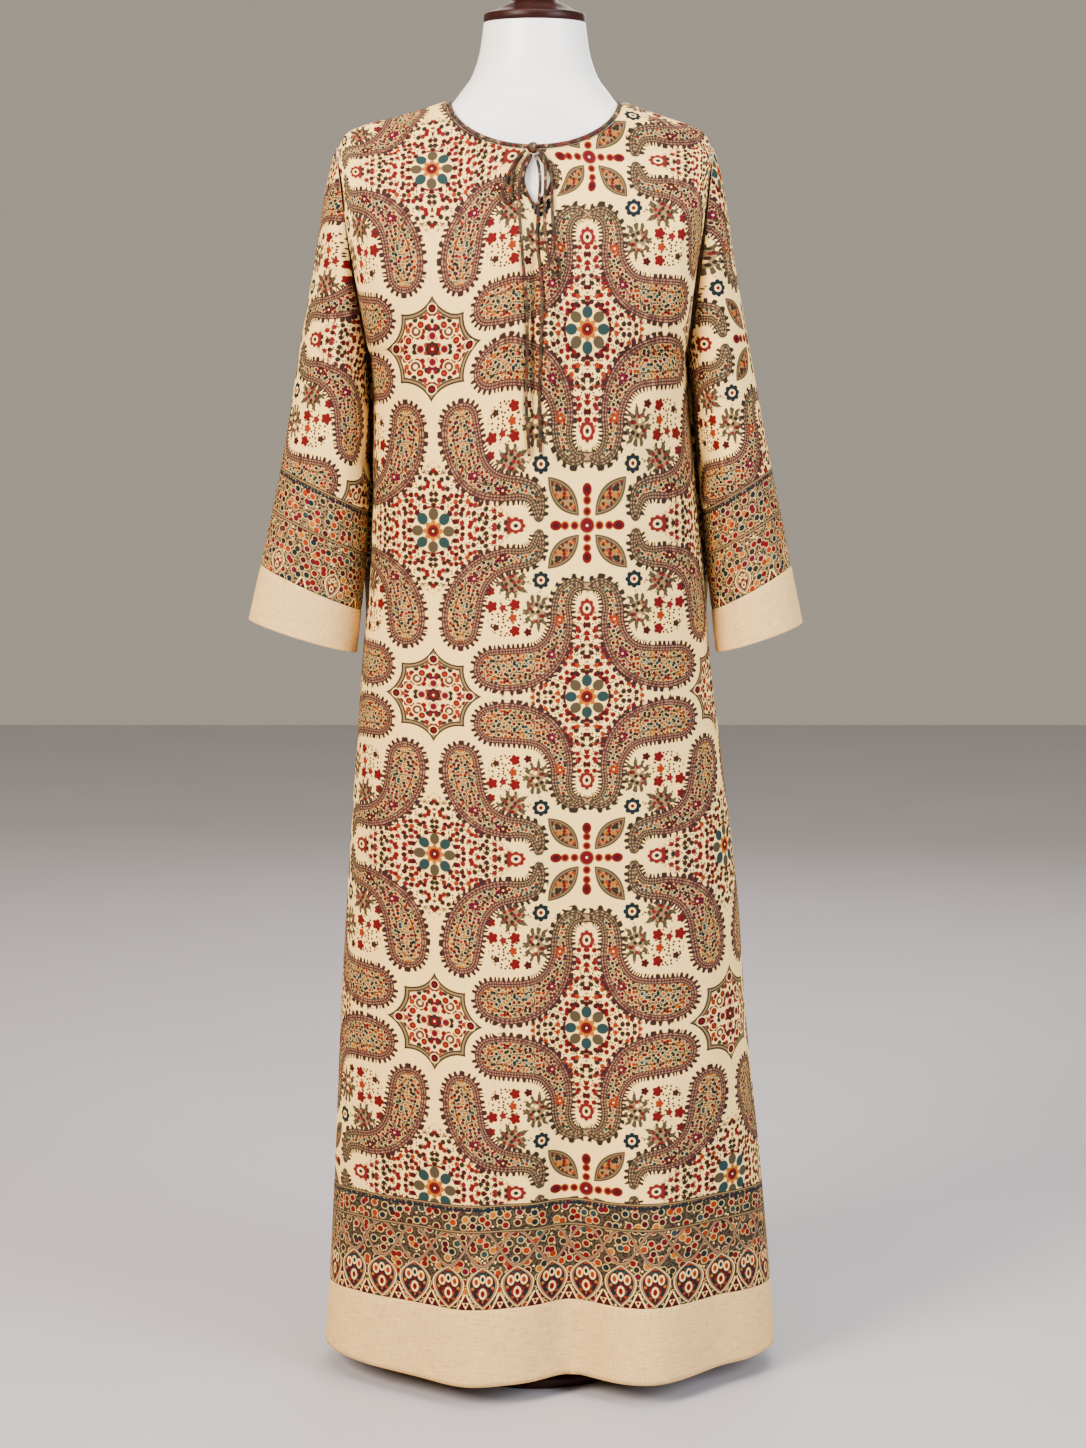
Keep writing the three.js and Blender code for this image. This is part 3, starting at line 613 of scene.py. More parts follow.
def surface_piece(name, rings, material):
    """A smooth piece from rings of points, in millimetres, closed round and at its ends."""
    rings = np.array(rings, float)
    count, sides = rings.shape[:2]
    ids = np.arange(count * sides).reshape(count, sides)
    faces = []
    for r in range(count - 1):
        for c in range(sides):
            n = (c + 1) % sides
            faces.append([int(ids[r, c]), int(ids[r, n]), int(ids[r + 1, n]), int(ids[r + 1, c])])
    faces.append([int(k) for k in ids[0][::-1]])
    faces.append([int(k) for k in ids[-1]])
    mesh = bpy.data.meshes.new(name)
    mesh.from_pydata((rings.reshape(-1, 3) * MM).tolist(), [], faces)
    mesh.materials.append(material)
    work = bmesh.new()
    work.from_mesh(mesh)
    bmesh.ops.recalc_face_normals(work, faces=work.faces)
    work.to_mesh(mesh)
    work.free()
    mesh.polygons.foreach_set("use_smooth", [len(p.vertices) == 4 for p in mesh.polygons])
    mesh.update()
    return link_object(name, mesh)


def turned_piece(name, profile, centre, material, sides=96):
    """A piece turned about a vertical axis, from a profile of radius and height."""
    turn = round_turn(sides)
    rings = []
    for radius, z in profile:
        x = centre[0] + radius * np.cos(turn)
        y = centre[1] + radius * np.sin(turn)
        rings.append(np.stack([x, y, np.full(sides, centre[2] + z)], axis=-1))
    return surface_piece(name, rings, material)


# ---------------------------------------------------------------- the cloth pieces

# The mesh: cell sizes, thicknesses, the narrow rows beside a seam, and points that are welded.
CELL = 3.6
BAND_CELL = 5
PANEL_THICK = 1.2
BAND_THICK = 1.7
SEAM_INSET = 1.6
WELD = 0.002
SHARES_Z = 700  # height whose width sets the number of columns
SHARES_ROUND = 1.25  # length round the front over its width there
SLEEVE_DEPTH = 62  # half depth that sets the number of steps round a sleeve
CHEST_EASE = 1.25
# The shares of the half width where the print turns to the side.
PRINT_ROUNDS = (0.5, 0.95)
# Where the creases fade: share from the side, distance from the top, and towards the shoulders.
CREASE_FADES = {"side": (0, 0.12), "top": (4, 60), "chest": (1200, 1300), "armhole": (0, 0.05)}
CHEST_CREASES_LOST = 0.8
CUFF_CREASES_LEFT = 0.35
UNDER_SEAM_LEFT = 0.6
SLEEVE_PRINT = {"left": (20, 96), "right": (-20, 96)}


def seam_dip(distance):
    """How far the cloth is drawn in at a distance from a seam."""
    return SEAM_DIP * np.exp(-((distance / SEAM_DIP_WIDTH) ** 2))


def running_length(steps):
    """Length from the first column to each, from the steps between the columns."""
    return np.concatenate([np.zeros((len(steps), 1)), np.cumsum(steps, axis=1)], axis=1)


def without(normals, axis):
    """Normals without their part along one axis, so that mirrored halves meet smoothly."""
    level = normals.copy()
    level[:, axis] = 0
    return unit(level)


def print_fields(u, v, above, printed):
    """The fields that the cloth materials read at each point."""
    fields = {"print_place": np.stack([u, v, above], axis=-1)}
    if printed:
        fields["paisley"] = paisley_field(u, v)
    return fields


def gown_normals(face, side, points, shares, is_panel):
    """Unit normals of half a panel or band, level with the next piece's at the seams."""
    normals = grid_normals(points)
    outward = -1 if face == "front" else 1
    normals *= np.sign(normals[:, :, 1:2].mean() * outward) or 1
    heights = points[..., 2]
    has_slit = is_panel and face == "front"
    whole = heights[:, 0] <= KEYHOLE_Z if has_slit else heights[:, 0] > 0
    normals[:, 0] = np.where(whole[:, None], without(normals[:, 0], 0), normals[:, 0])
    at_side = heights[:, -1] <= UNDERARM_Z
    normals[:, -1] = np.where(at_side[:, None], without(normals[:, -1], 1), normals[:, -1])
    if is_panel:
        sewn = shares >= neck_share(side) - 1e-6
        normals[-1] = np.where(sewn[:, None], without(normals[-1], 1), normals[-1])
    return normals


def gown_relief(face, points, shares, is_panel):
    """How far the creases and seams move the points of half a panel or band outwards."""
    x, heights = points[..., 0], points[..., 2]
    out = crease_at(face, x, heights)
    out *= smoothstep(*CREASE_FADES["side"], 1 - shares)
    if is_panel:
        out *= smoothstep(*CREASE_FADES["top"], heights[-1] - heights)
        near = smoothstep(*CREASE_FADES["chest"], heights)
        out = np.where(out < 0, out * (1 - CHEST_CREASES_LOST * near), out)
        if face == "front":
            out *= keyhole_calm(x, heights)
        out -= seam_dip(heights - heights[0])
    else:
        out -= seam_dip(heights[-1] - heights)
    return out - seam_dip(np.linalg.norm(points[:, -1:, :] - points, axis=-1))


def gown_print(face, side, points, shares, is_panel):
    """Where the print lies on half a panel or band, from its points before any crease."""
    heights = points[..., 2]
    steps = np.linalg.norm(np.diff(points[..., :2], axis=1), axis=-1)
    level = np.abs(np.diff(points[..., 0], axis=1))
    arc = running_length(level + (steps - level) * smoothstep(*PRINT_ROUNDS, shares[1:]))
    if is_panel:
        under = int(np.argmax(heights[:, 0] > UNDERARM_Z - 0.01))
        upper = heights[under + 1 :]
        arc[under + 1 :] = arc[under] * reach(side, upper) / reach(side, UNDERARM_Z)
    across = gown["middle"](heights) + SIDES[side] * arc
    rises = np.diff(heights, axis=0)
    slopes = np.hypot(rises, np.diff(points[..., 1], axis=0))
    rises = np.where(heights[1:] > PRINT_LEAN_Z, slopes, rises)
    climb = np.concatenate([0 * heights[:1], np.cumsum(rises, axis=0)]) + heights[:1]
    above = (heights - band_top(shares)) / UNIT
    u = (across - PRINT_X[face]) / UNIT
    return print_fields(u, print_row(across, climb), above, is_panel)


def gown_shares(side, cell):
    """Columns of half a panel, closer together at the side seam."""
    wide = reach(side, SHARES_Z) * SHARES_ROUND
    even = even_steps(0, 1, cell / wide)
    return np.concatenate([even[:-1], [1 - SEAM_INSET / wide, 1]])


def panel_heights(face, shares, side):
    """Rows of a panel: even to the underarm, with one beside the hem seam, then to the top."""
    low = band_top(shares) + SEAM
    top, _ = panel_top(face, side, shares)
    tall = UNDERARM_Z - HEM_Z - BAND_HEIGHT
    lower = np.concatenate([[0, SEAM_INSET / tall], even_steps(0, 1, CELL / tall)[1:]])
    body = low[None, :] + (UNDERARM_Z - low)[None, :] * lower[:, None]
    upper = even_steps(0, 1, CELL / (NECK_Z - UNDERARM_Z))[1:]
    ease = 1 - (1 - upper) ** CHEST_EASE
    chest = UNDERARM_Z + (top - UNDERARM_Z)[None, :] * ease[:, None]
    return np.concatenate([body, chest])


def odd_count(values):
    """Rows or columns with one more in the middle if needed, as a coarser inner face needs."""
    if len(values) % 2 == 1:
        return values
    half = len(values) // 2
    return np.insert(values, half, (values[half - 1] + values[half]) / 2, axis=0)


def gown_piece(name, face, is_panel, materials):
    sheet = Sheet(PANEL_THICK if is_panel else BAND_THICK)
    for side in SIDES:
        shares = odd_count(gown_shares(side, CELL if is_panel else BAND_CELL))
        if is_panel:
            heights = odd_count(panel_heights(face, shares, side))
        else:
            rows = even_steps(0, 1, BAND_CELL / BAND_HEIGHT)
            rows = odd_count(np.concatenate([rows[:-1], [1 - SEAM_INSET / BAND_HEIGHT, 1]]))
            heights = HEM_Z + (band_top(shares) - HEM_Z)[None, :] * rows[:, None]
        smooth = gown_points(face, side, shares[None, :], heights)
        normals = gown_normals(face, side, smooth, shares, is_panel)
        relief = gown_relief(face, smooth, shares, is_panel)
        fields = gown_print(face, side, smooth, shares, is_panel)
        rims = {"low": 0, "high": 0, "right": 0}
        if is_panel and face == "front":
            first = int(np.argmax(heights[:, 0] > KEYHOLE_Z)) - 1
            rims["left"] = first - first % 2
        outward = (face == "front") == (side == "right")
        sheet.add(smooth + normals * relief[..., None], normals, fields, rims, outward)
    return sheet.build(name, materials)


def sleeve_middle(name, along):
    return (sleeve_points(name, along, 0 * along) + sleeve_points(name, along, math.pi)) / 2


def sleeve_length(name):
    """Length of a sleeve along its middle, from the armhole to the cuff's end."""
    middle = sleeve_middle(name, np.linspace(0, 1, 60))
    return float(np.linalg.norm(np.diff(middle, axis=0), axis=-1).sum())


def sleeve_relief(name, points, along, turn, seams):
    """How far the creases and seams move the points of a sleeve or cuff outwards."""
    out = sleeve_crease_at(name, along, turn)
    out *= smoothstep(*CREASE_FADES["armhole"], along)
    out *= CUFF_CREASES_LEFT if len(seams) == 1 else 1
    for seam in seams:
        out -= seam_dip((along - seam) * sleeve_length(name))
    around = running_length(np.linalg.norm(np.diff(points, axis=1), axis=-1))
    to_under = np.minimum(around, around[:, -1:] - around)
    return out - UNDER_SEAM_LEFT * seam_dip(to_under)


def sleeve_print(name, points, turns, printed):
    """Where the print lies on a sleeve: straight along it, its border beside the cuff seam."""
    start, end = (sleeve_middle(name, place) for place in (0.0, 1.0))
    axis = unit(end - start)
    down = (points - start) @ axis
    flat = points - down[..., None] * axis
    level = running_length(np.linalg.norm(np.diff(flat, axis=1), axis=-1))
    level -= level[:, len(turns) // 2][:, None]
    offset_u, offset_v = SLEEVE_PRINT[name]
    seam = (sleeve_points(name, CUFF_START + 0 * turns, turns) - start) @ axis
    above = (seam[None, :] - down) / UNIT
    return print_fields(level / UNIT + offset_u, offset_v - down / UNIT, above, printed)


def sleeve_piece(name, part, first, last, materials):
    """A sleeve or cuff, as a tube whose lengthwise seam lies under the arm."""
    is_cuff = part == "cuff"
    length = sleeve_length(name)
    turns = even_steps(-math.pi, math.pi, CELL / SLEEVE_DEPTH)
    rows = even_steps(first, last, CELL / length)
    inset = SEAM_INSET / length
    rows = [[rows[0], rows[0] + inset], rows[1:-1], [rows[-1] - inset, rows[-1]]]
    along, turn = np.meshgrid(odd_count(np.concatenate(rows)), turns, indexing="ij")
    smooth = sleeve_points(name, along, turn)
    closed = np.concatenate([smooth[:, -2:-1], smooth, smooth[:, 1:2]], axis=1)
    normals = grid_normals(closed)[:, 1:-1]
    centre = smooth[:, :-1].mean(axis=1, keepdims=True)
    normals *= np.sign((normals * (smooth - centre)).sum(axis=-1).mean())
    normals[:, -1] = normals[:, 0]
    relief = sleeve_relief(name, smooth, along, turn, (first,) if is_cuff else (first, last))
    fields = sleeve_print(name, smooth, turns, not is_cuff)
    sheet = Sheet(BAND_THICK if is_cuff else PANEL_THICK)
    rims = {"low": 0, "high": 0}
    sheet.add(smooth + normals * relief[..., None], normals, fields, rims, name == "left")
    return sheet.build(f"{name}_{part}_cloth", materials)


# ---------------------------------------------------------------- node graphs


def srgb(red, green, blue):
    """A colour given as 0 to 255, as the shader wants it."""
    def linear(value):
        value /= 255
        return value / 12.92 if value <= 0.04045 else ((value + 0.055) / 1.055) ** 2.4
    return (linear(red), linear(green), linear(blue), 1)


class Field:
    """A number at each point of a surface: a node's output, with arithmetic."""

    def __init__(self, graph, socket):
        self.graph = graph
        self.socket = socket

    def __add__(self, other):
        return self.graph.math("ADD", self, other)

    def __sub__(self, other):
        return self.graph.math("SUBTRACT", self, other)

    def __rsub__(self, other):
        return self.graph.math("SUBTRACT", other, self)

    def __mul__(self, other):
        return self.graph.math("MULTIPLY", self, other)

    def __truediv__(self, other):
        return self.graph.math("DIVIDE", self, other)


class Graph:
    """A material's node tree, built from plain arithmetic."""

    def __init__(self, name):
        self.material = bpy.data.materials.new(name)
        self.material.use_nodes = True
        self.tree = self.material.node_tree
        self.tree.nodes.clear()

    def node(self, kind, inputs=(), **settings):
        """A node with its settings, and its inputs by name or number."""
        node = self.tree.nodes.new(kind)
        for key, value in settings.items():
            setattr(node, key, value)
        for key, value in dict(inputs).items():
            self.feed(node.inputs[key], value)
        return node

    def feed(self, socket, value):
        if isinstance(value, Field):
            value = value.socket
        if isinstance(value, bpy.types.NodeSocket):
            self.tree.links.new(value, socket)
        else:
            socket.default_value = value

    def math(self, operation, *values, clamp=False):
        inputs = enumerate(values)
        node = self.node("ShaderNodeMath", inputs, operation=operation, use_clamp=clamp)
        return Field(self, node.outputs[0])

    def split(self, attribute):
        """The three numbers of a mesh attribute."""
        source = self.node("ShaderNodeAttribute", attribute_name=attribute)
        parts = self.node("ShaderNodeSeparateXYZ", {0: source.outputs["Vector"]})
        return [Field(self, out) for out in parts.outputs]

    def place(self, x, y):
        """A point from two numbers."""
        return self.node("ShaderNodeCombineXYZ", {0: x, 1: y}).outputs[0]

    def object_place(self, stretch=None):
        """A point's place in the piece's own axes, closer together along z if stretched."""
        point = self.node("ShaderNodeTexCoord").outputs["Object"]
        if stretch is None:
            return point
        inputs = {"Vector": point, "Scale": (1.0, 1.0, stretch)}
        return self.node("ShaderNodeMapping", inputs).outputs[0]

    def length(self, x, y):
        squares = self.math("MULTIPLY_ADD", x, x, self.math("MULTIPLY", y, y))
        return self.math("SQRT", squares)

    def inside(self, distance, soft=0.7):
        """1 where the distance is negative, with a soft edge."""
        return self.math("MULTIPLY_ADD", distance, -1 / soft, 0.5, clamp=True)

    def between(self, distance, low, high, soft=0.7):
        """1 where the distance lies between two values."""
        middle, half = (low + high) / 2, (high - low) / 2
        away = self.math("ABSOLUTE", distance - middle)
        return self.math("MULTIPLY_ADD", away, -1 / soft, half / soft + 0.5, clamp=True)

    def stretch(self, value, factor, offset):
        """A value times a factor, plus an offset, kept from 0 to 1."""
        return self.math("MULTIPLY_ADD", value, factor, offset, clamp=True)

    def both(self, first, second):
        return self.math("MULTIPLY", first, second)

    def mix(self, base, colour, share):
        inputs = {"Factor": share, 6: base, 7: colour}
        return self.node("ShaderNodeMix", inputs, data_type="RGBA").outputs[2]

    def ramp(self, value, stops, constant=True):
        node = self.node("ShaderNodeValToRGB", {0: value})
        node.color_ramp.interpolation = "CONSTANT" if constant else "LINEAR"
        elements = node.color_ramp.elements
        while len(elements) < len(stops):
            elements.new(0.5)
        for element, (position, colour) in zip(elements, stops):
            element.position = position
            element.color = colour
        return node.outputs[0]

    def noise(self, vector, scale, detail=2.0, roughness=0.5):
        inputs = {"Vector": vector, "Scale": scale, "Detail": detail, "Roughness": roughness}
        return Field(self, self.node("ShaderNodeTexNoise", inputs).outputs["Fac"])

    def cells(self, vector, scale, randomness=1.0, dimensions="2D"):
        """Distance to the nearest of scattered points, and a random number of that point."""
        inputs = {"Vector": vector, "Scale": scale, "Randomness": randomness}
        node = self.node("ShaderNodeTexVoronoi", inputs, voronoi_dimensions=dimensions)
        pick = self.node("ShaderNodeSeparateColor", {0: node.outputs["Color"]})
        return Field(self, node.outputs["Distance"]), Field(self, pick.outputs[0])

    def cloth_bump(self, height, strength, distance):
        inputs = {"Strength": strength, "Distance": distance, "Height": height}
        return self.node("ShaderNodeBump", inputs).outputs[0]

    def finish(self, colour, roughness, normal=None, extra=()):
        inputs = {"Base Color": colour, "Roughness": roughness, **dict(extra)}
        if normal is not None:
            inputs["Normal"] = normal
        shader = self.node("ShaderNodeBsdfPrincipled", inputs)
        self.node("ShaderNodeOutputMaterial", {0: shader.outputs[0]})
        return self.material


# ---------------------------------------------------------------- colours of the print

CREAM = srgb(244, 204, 124)
OLIVE = srgb(66, 56, 38)
OLIVE_DARK = srgb(34, 27, 20)
OLIVE_LIGHT = srgb(124, 100, 64)
MAUVE = srgb(78, 44, 38)
MAUVE_DARK = srgb(44, 22, 23)
MAUVE_LIGHT = srgb(146, 106, 76)
RED = srgb(92, 4, 8)
RED_DARK = srgb(54, 3, 10)
ORANGE = srgb(128, 38, 4)
MAGENTA = srgb(78, 3, 28)
ROSE = srgb(100, 16, 20)
TEAL = srgb(28, 50, 50)
TEAL_DARK = srgb(10, 24, 32)
GOLD = srgb(152, 86, 12)
BROWN = srgb(46, 22, 15)


def palette(*items):
    """Stops for a ramp: the first colour, then each place with the colour that starts there."""
    return tuple(zip((0.0, *items[1::2]), items[::2]))


HEAD_PALETTE = palette(
    ORANGE, 0.12, TEAL_DARK, 0.24, RED, 0.38, GOLD, 0.52, TEAL, 0.64, RED_DARK,
    0.74, OLIVE_DARK, 0.84, GOLD, 0.93, MAGENTA,
)
BODY_PALETTE = palette(
    MAGENTA, 0.18, RED, 0.34, OLIVE_DARK, 0.46, ROSE, 0.6, MAUVE_DARK, 0.7, ORANGE,
    0.8, RED_DARK, 0.92, TEAL_DARK,
)
TAIL_PALETTE = palette(
    OLIVE_DARK, 0.22, RED, 0.38, TEAL, 0.54, ORANGE, 0.66, OLIVE, 0.8, TEAL_DARK, 0.92, MAGENTA
)
BORDER_PALETTE = palette(
    RED, 0.22, TEAL_DARK, 0.34, ORANGE, 0.48, RED_DARK, 0.6, OLIVE_DARK, 0.7, RED,
    0.8, MAGENTA, 0.88, GOLD, 0.94, TEAL,
)
SPRIG_PALETTE = palette(
    RED, 0.3, RED_DARK, 0.48, ROSE, 0.62, ORANGE, 0.74, BROWN, 0.88, OLIVE_DARK
)
STAR_PALETTE = palette(RED, 0.3, MAGENTA, 0.5, ROSE, 0.7, ORANGE, 0.82, OLIVE_DARK)
LEAF_PALETTE = palette(
    GOLD, 0.24, RED, 0.42, OLIVE_DARK, 0.58, MAGENTA, 0.72, ORANGE, 0.84, OLIVE_DARK
)
TWIG_PALETTE = palette(BROWN, 0.5, RED_DARK, 0.78, OLIVE_DARK)
SPRAY_PALETTE = palette(OLIVE_DARK, 0.45, ROSE, 0.65, CREAM, 0.82, RED)
NET_PALETTE = palette(OLIVE_DARK, 0.4, RED_DARK, 0.6, BROWN, 0.76, TEAL_DARK, 0.92, CREAM)
RIM_DARK_PALETTE = palette(MAUVE_DARK, 0.6, MAUVE_DARK, 0.82, OLIVE_DARK)
RIM_PALETTE = palette(MAUVE, 0.6, MAUVE, 0.82, OLIVE)

# ---------------------------------------------------------------- drawing with distances

# All sizes are in units of the design. A coat is (how far out it reaches from a distance's
# zero, its paint), and later coats lie on earlier ones. A flower's shape is its radius, its
# number of petals and how far they swing out.


def nest(graph, colour, distance, coats, zone=None):
    """Coats of one distance over each other, kept within a zone if one is given."""
    for out, paint in coats:
        mask = graph.inside(distance - out)
        colour = graph.mix(colour, paint, mask if zone is None else graph.both(zone, mask))
    return colour


def spots(graph, colour, point, spacing, scatter, radius, paints, zone, soft=0.12):
    """Scattered spots of a palette's colours; the radius is a share of their spacing."""
    distance, pick = graph.cells(point, 1 / spacing, scatter)
    mask = graph.both(zone, graph.inside(distance - radius, soft))
    return graph.mix(colour, graph.ramp(pick, paints), mask)


def flower_shape(graph, x, y, radius, petals, depth):
    """Signed distance to a flower with round petals, and the distance to its middle."""
    far = graph.length(x, y)
    angle = graph.math("ARCTAN2", y, x)
    wave = graph.math("ABSOLUTE", graph.math("COSINE", angle * (petals / 2)))
    return far - (wave * depth + radius), far


def flower(graph, colour, x, y, shape, paint, heart=()):
    """A flower of one paint, with round coats about its middle."""
    edge, far = flower_shape(graph, x, y, *shape)
    colour = nest(graph, colour, edge, ((0, paint),))
    return nest(graph, colour, far, heart)


def spokes(graph, x, y, count, start=0.0):
    """Distance from a middle, then the places along and beside the nearest of its spokes."""
    far = graph.length(x, y)
    turn = graph.math("PINGPONG", graph.math("ARCTAN2", y, x) - start, math.pi / count)
    along = graph.math("MULTIPLY", graph.math("COSINE", turn), far)
    beside = graph.math("MULTIPLY", graph.math("SINE", turn), far)
    return far, along, beside


# ---------------------------------------------------------------- motifs of the print

# Small sprigs: the half diagonals of the diamonds round the rosettes of each column.
FIRST_DIAMOND = (62, 100)
SECOND_DIAMOND = (92, 66)
# The cross flower's leaves: middle, half length, half width, and the way they point.
LEAF_MIDDLE, LEAF_LONG, LEAF_WIDE = 34.5, 23, 10.6
LEAF_WAY = (0.68, 0.733)
LEAF_COATS = ((0, OLIVE), (-2.3, OLIVE_LIGHT), (-3.2, OLIVE_DARK), (-4.2, OLIVE_LIGHT))
# The cross flower's beads: first place, half pitch, where the row starts and ends, and the tip.
BEAD_FIRST, BEAD_PITCH, BEAD_ROW, BEAD_TIP = 7.5, 4.75, (8, 26), 31
# The star: radius and place of its hollow sides, and its reach.
STAR_HOLLOW, STAR_HOLLOW_PLACE, STAR_REACH = 29.4, (61, 27), 50
STAR_COATS = (
    (3, CREAM), (0, OLIVE_DARK), (-1.8, OLIVE_LIGHT), (-3.6, OLIVE_DARK), (-5.2, CREAM)
)
# Rings of flowers in the star: radius, count, size, first angle, and the two colours.
STAR_RINGS = (
    (12, 4, 3.6, 0.0, ROSE, MAGENTA),
    (23, 4, 4.8, 0.785, MAUVE, CREAM),
    (25, 8, 3.4, 0.3, RED, ORANGE),
    (37, 4, 4.0, 0.0, RED_DARK, RED),
)
# Rosettes: radius of the clear ground, of the ring of beads and of the ring of petals.
ROSETTE_CLEAR, ROSETTE_BEADS, ROSETTE_PETALS = 21.5, 24, 16
COLUMN_FLOWER = (6.4, 8, 1.6)
# Red blossoms between the two paisleys of the quarter cell: across, down, size and colour.
BLOSSOMS = (
    (72, 103, 5.0, RED),
    (95, 78, 5.4, RED),
    (72, 77, 5.2, RED),
    (84, 80, 3.4, ROSE),
    (74, 90, 4.0, ORANGE),
    (96, 63, 4.2, RED),
    (59, 104, 3.8, RED_DARK),
    (91, 99, 3.4, BROWN),
)
# Twigs lie round the blossoms; leaf sprays: across, down, half width and height, and leaves.
TWIG_MIDDLE, TWIG_REACH = (82, 90), 17
SPRAYS = ((75, 56, 14.5, 12.5, 10), (50, 84, 12, 15.5, 11))
# The paisleys: breadth of the rim, half the pitch of its rows of dots, and half a tooth.
RIM, RIM_ROW, TOOTH = 6.0, 1.35, 2.7
# Star flowers on the paisleys' tails: across, down and colour.
TAIL_FLOWERS = ((35, 126, MAGENTA), (112, 49, MAGENTA), (84, 31, RED_DARK), (27, 92, ORANGE))
SHIELD_COATS = (
    (0, OLIVE_DARK), (-0.9, CREAM), (-2.0, OLIVE), (-2.7, MAUVE_LIGHT), (-3.9, OLIVE_DARK)
)
# Drops in a shield: across and up as shares of it, size and colour.
SHIELD_DROPS = ((0.38, 0.66, 0.2, ORANGE), (0.0, 0.38, 0.22, RED), (0.0, 0.72, 0.17, TEAL_DARK))
# The borders, from the seam up: the two lines, then the shields and triangles at the foot.
GOWN_BAND = {
    "lower": 80, "upper": 106, "pitch": 35, "tall": 44, "wide": 17,
    "triangle": 8, "floret": 9.2, "ground": OLIVE, "net": True,
}
SLEEVE_BAND = {
    "lower": 57, "upper": 101, "pitch": 62, "tall": 27, "wide": 9.5,
    "triangle": 5, "floret": 8.6, "ground": OLIVE_LIGHT, "net": False,
}


def print_colour(graph, band):
    """The whole print as a colour: ground, motifs, then the border."""
    u, v, above = graph.split("print_place")
    edge, place, share = graph.split("paisley")
    a = graph.math("PINGPONG", u, CELL_WIDE)
    b = graph.math("PINGPONG", v, CELL_HIGH)
    point = graph.place(a, b)
    colour = sprigs(graph, CREAM, a, b, point)
    colour = cross_flower(graph, colour, a, b, point)
    colour = star_medallion(graph, colour, a, b, point)
    colour = rosettes(graph, colour, a, b)
    colour = sprays(graph, colour, a, b, point)
    colour = paisleys(graph, colour, edge, place, share, point)
    for x, y, paint in TAIL_FLOWERS:
        colour = flower(graph, colour, a - x, b - y, (3.0, 8, 2.2), paint, ((1.0, CREAM),))
    colour = border(graph, colour, u, above, band)
    return colour, u, v


def sprigs(graph, colour, a, b, point):
    """Small sprigs in a diamond round each rosette, thinning outwards."""
    far_a = CELL_WIDE - a
    far_b = CELL_HIGH - b
    reaches = []
    for (wide, tall), x, y in ((FIRST_DIAMOND, a, far_b), (SECOND_DIAMOND, far_a, b)):
        reaches.append(graph.math("MULTIPLY_ADD", x, 1 / wide, y * (1 / tall)))
    zone = graph.inside(graph.math("MINIMUM", *reaches) - 0.97, 0.08)
    distance, pick = graph.cells(point, 1 / 3.4, 1.0)
    thin = graph.both(graph.inside(distance - 0.26, 0.12), zone)
    thin = graph.both(thin, graph.inside(0.3 - pick, 0.1))
    colour = graph.mix(colour, graph.ramp(pick, TWIG_PALETTE), thin)
    return spots(graph, colour, point, 6.4, 0.75, 0.41, SPRIG_PALETTE, zone)


def cross_flower(graph, colour, a, b, point):
    """Four leaves and two rows of beads about a centre."""
    way_a, way_b = LEAF_WAY
    along = graph.math("MULTIPLY_ADD", a, way_a, b * way_b) - LEAF_MIDDLE
    across = graph.math("ABSOLUTE", graph.math("MULTIPLY_ADD", a, -way_b, b * way_a))
    taper = graph.math("MULTIPLY", along * (1 / LEAF_LONG), along * (1 / LEAF_LONG))
    leaf = across + (taper * LEAF_WIDE - LEAF_WIDE)
    colour = nest(graph, colour, leaf, LEAF_COATS)
    inner = graph.inside(leaf - LEAF_COATS[-1][0])
    colour = spots(graph, colour, point, 3.6, 0.9, 0.56, LEAF_PALETTE, inner)
    low = graph.math("MINIMUM", a, b)
    high = graph.math("MAXIMUM", a, b)
    cell = graph.math("PINGPONG", high - BEAD_FIRST, BEAD_PITCH)
    bead = graph.length(BEAD_PITCH - cell, low)
    row = graph.between(high, *BEAD_ROW, 0.5)
    colour = nest(graph, colour, bead, ((4.3, GOLD), (3.3, RED), (1.5, RED_DARK)), row)
    tip = graph.length((high - BEAD_TIP) * 0.8, low)
    colour = nest(graph, colour, tip, ((4.8, RED), (2.6, RED_DARK)))
    coats = ((7.6, OLIVE_LIGHT), (6.6, RED), (3.6, MAGENTA), (1.2, CREAM))
    return nest(graph, colour, graph.length(a, b), coats)


def star_medallion(graph, colour, a, b, point):
    """An eight-pointed star with hollow sides, filled with flowers."""
    p = CELL_WIDE - a
    q = CELL_HIGH - b
    high = graph.math("MAXIMUM", p, q)
    low = graph.math("MINIMUM", p, q)
    place_high, place_low = STAR_HOLLOW_PLACE
    hollow = STAR_HOLLOW - graph.length(high - place_high, low - place_low)
    star = graph.math("MAXIMUM", hollow, high - STAR_REACH)
    colour = nest(graph, colour, star, STAR_COATS)
    inner = graph.inside(star - STAR_COATS[-1][0])
    colour = spots(graph, colour, point, 6.0, 0.8, 0.46, STAR_PALETTE, inner)
    for radius, count, size, start, outer, heart in STAR_RINGS:
        _, along, beside = spokes(graph, p, q, count, start)
        coats = ((size * 1.25, CREAM), (size, outer), (size * 0.45, heart))
        colour = nest(graph, colour, graph.length(along - radius, beside), coats)
    return flower(graph, colour, p, q, (6.0, 8, 1.4), MAUVE_DARK, ((3.8, RED), (1.1, CREAM)))


def rosettes(graph, colour, a, b):
    """Rosettes on both columns, with a ring flower at the end of each one's sprigs."""
    colour = rosette(graph, colour, a, CELL_HIGH - b, TEAL, OLIVE)
    colour = rosette(graph, colour, CELL_WIDE - a, b, OLIVE, TEAL)
    places = ((a, (b - 81) * 0.8, OLIVE_DARK), ((a - 71) * 0.8, b, TEAL_DARK))
    for x, y, heart in places:
        coats = ((3.9, CREAM), (2.0, heart))
        colour = flower(graph, colour, x, y, COLUMN_FLOWER, ROSE, coats)
    return colour


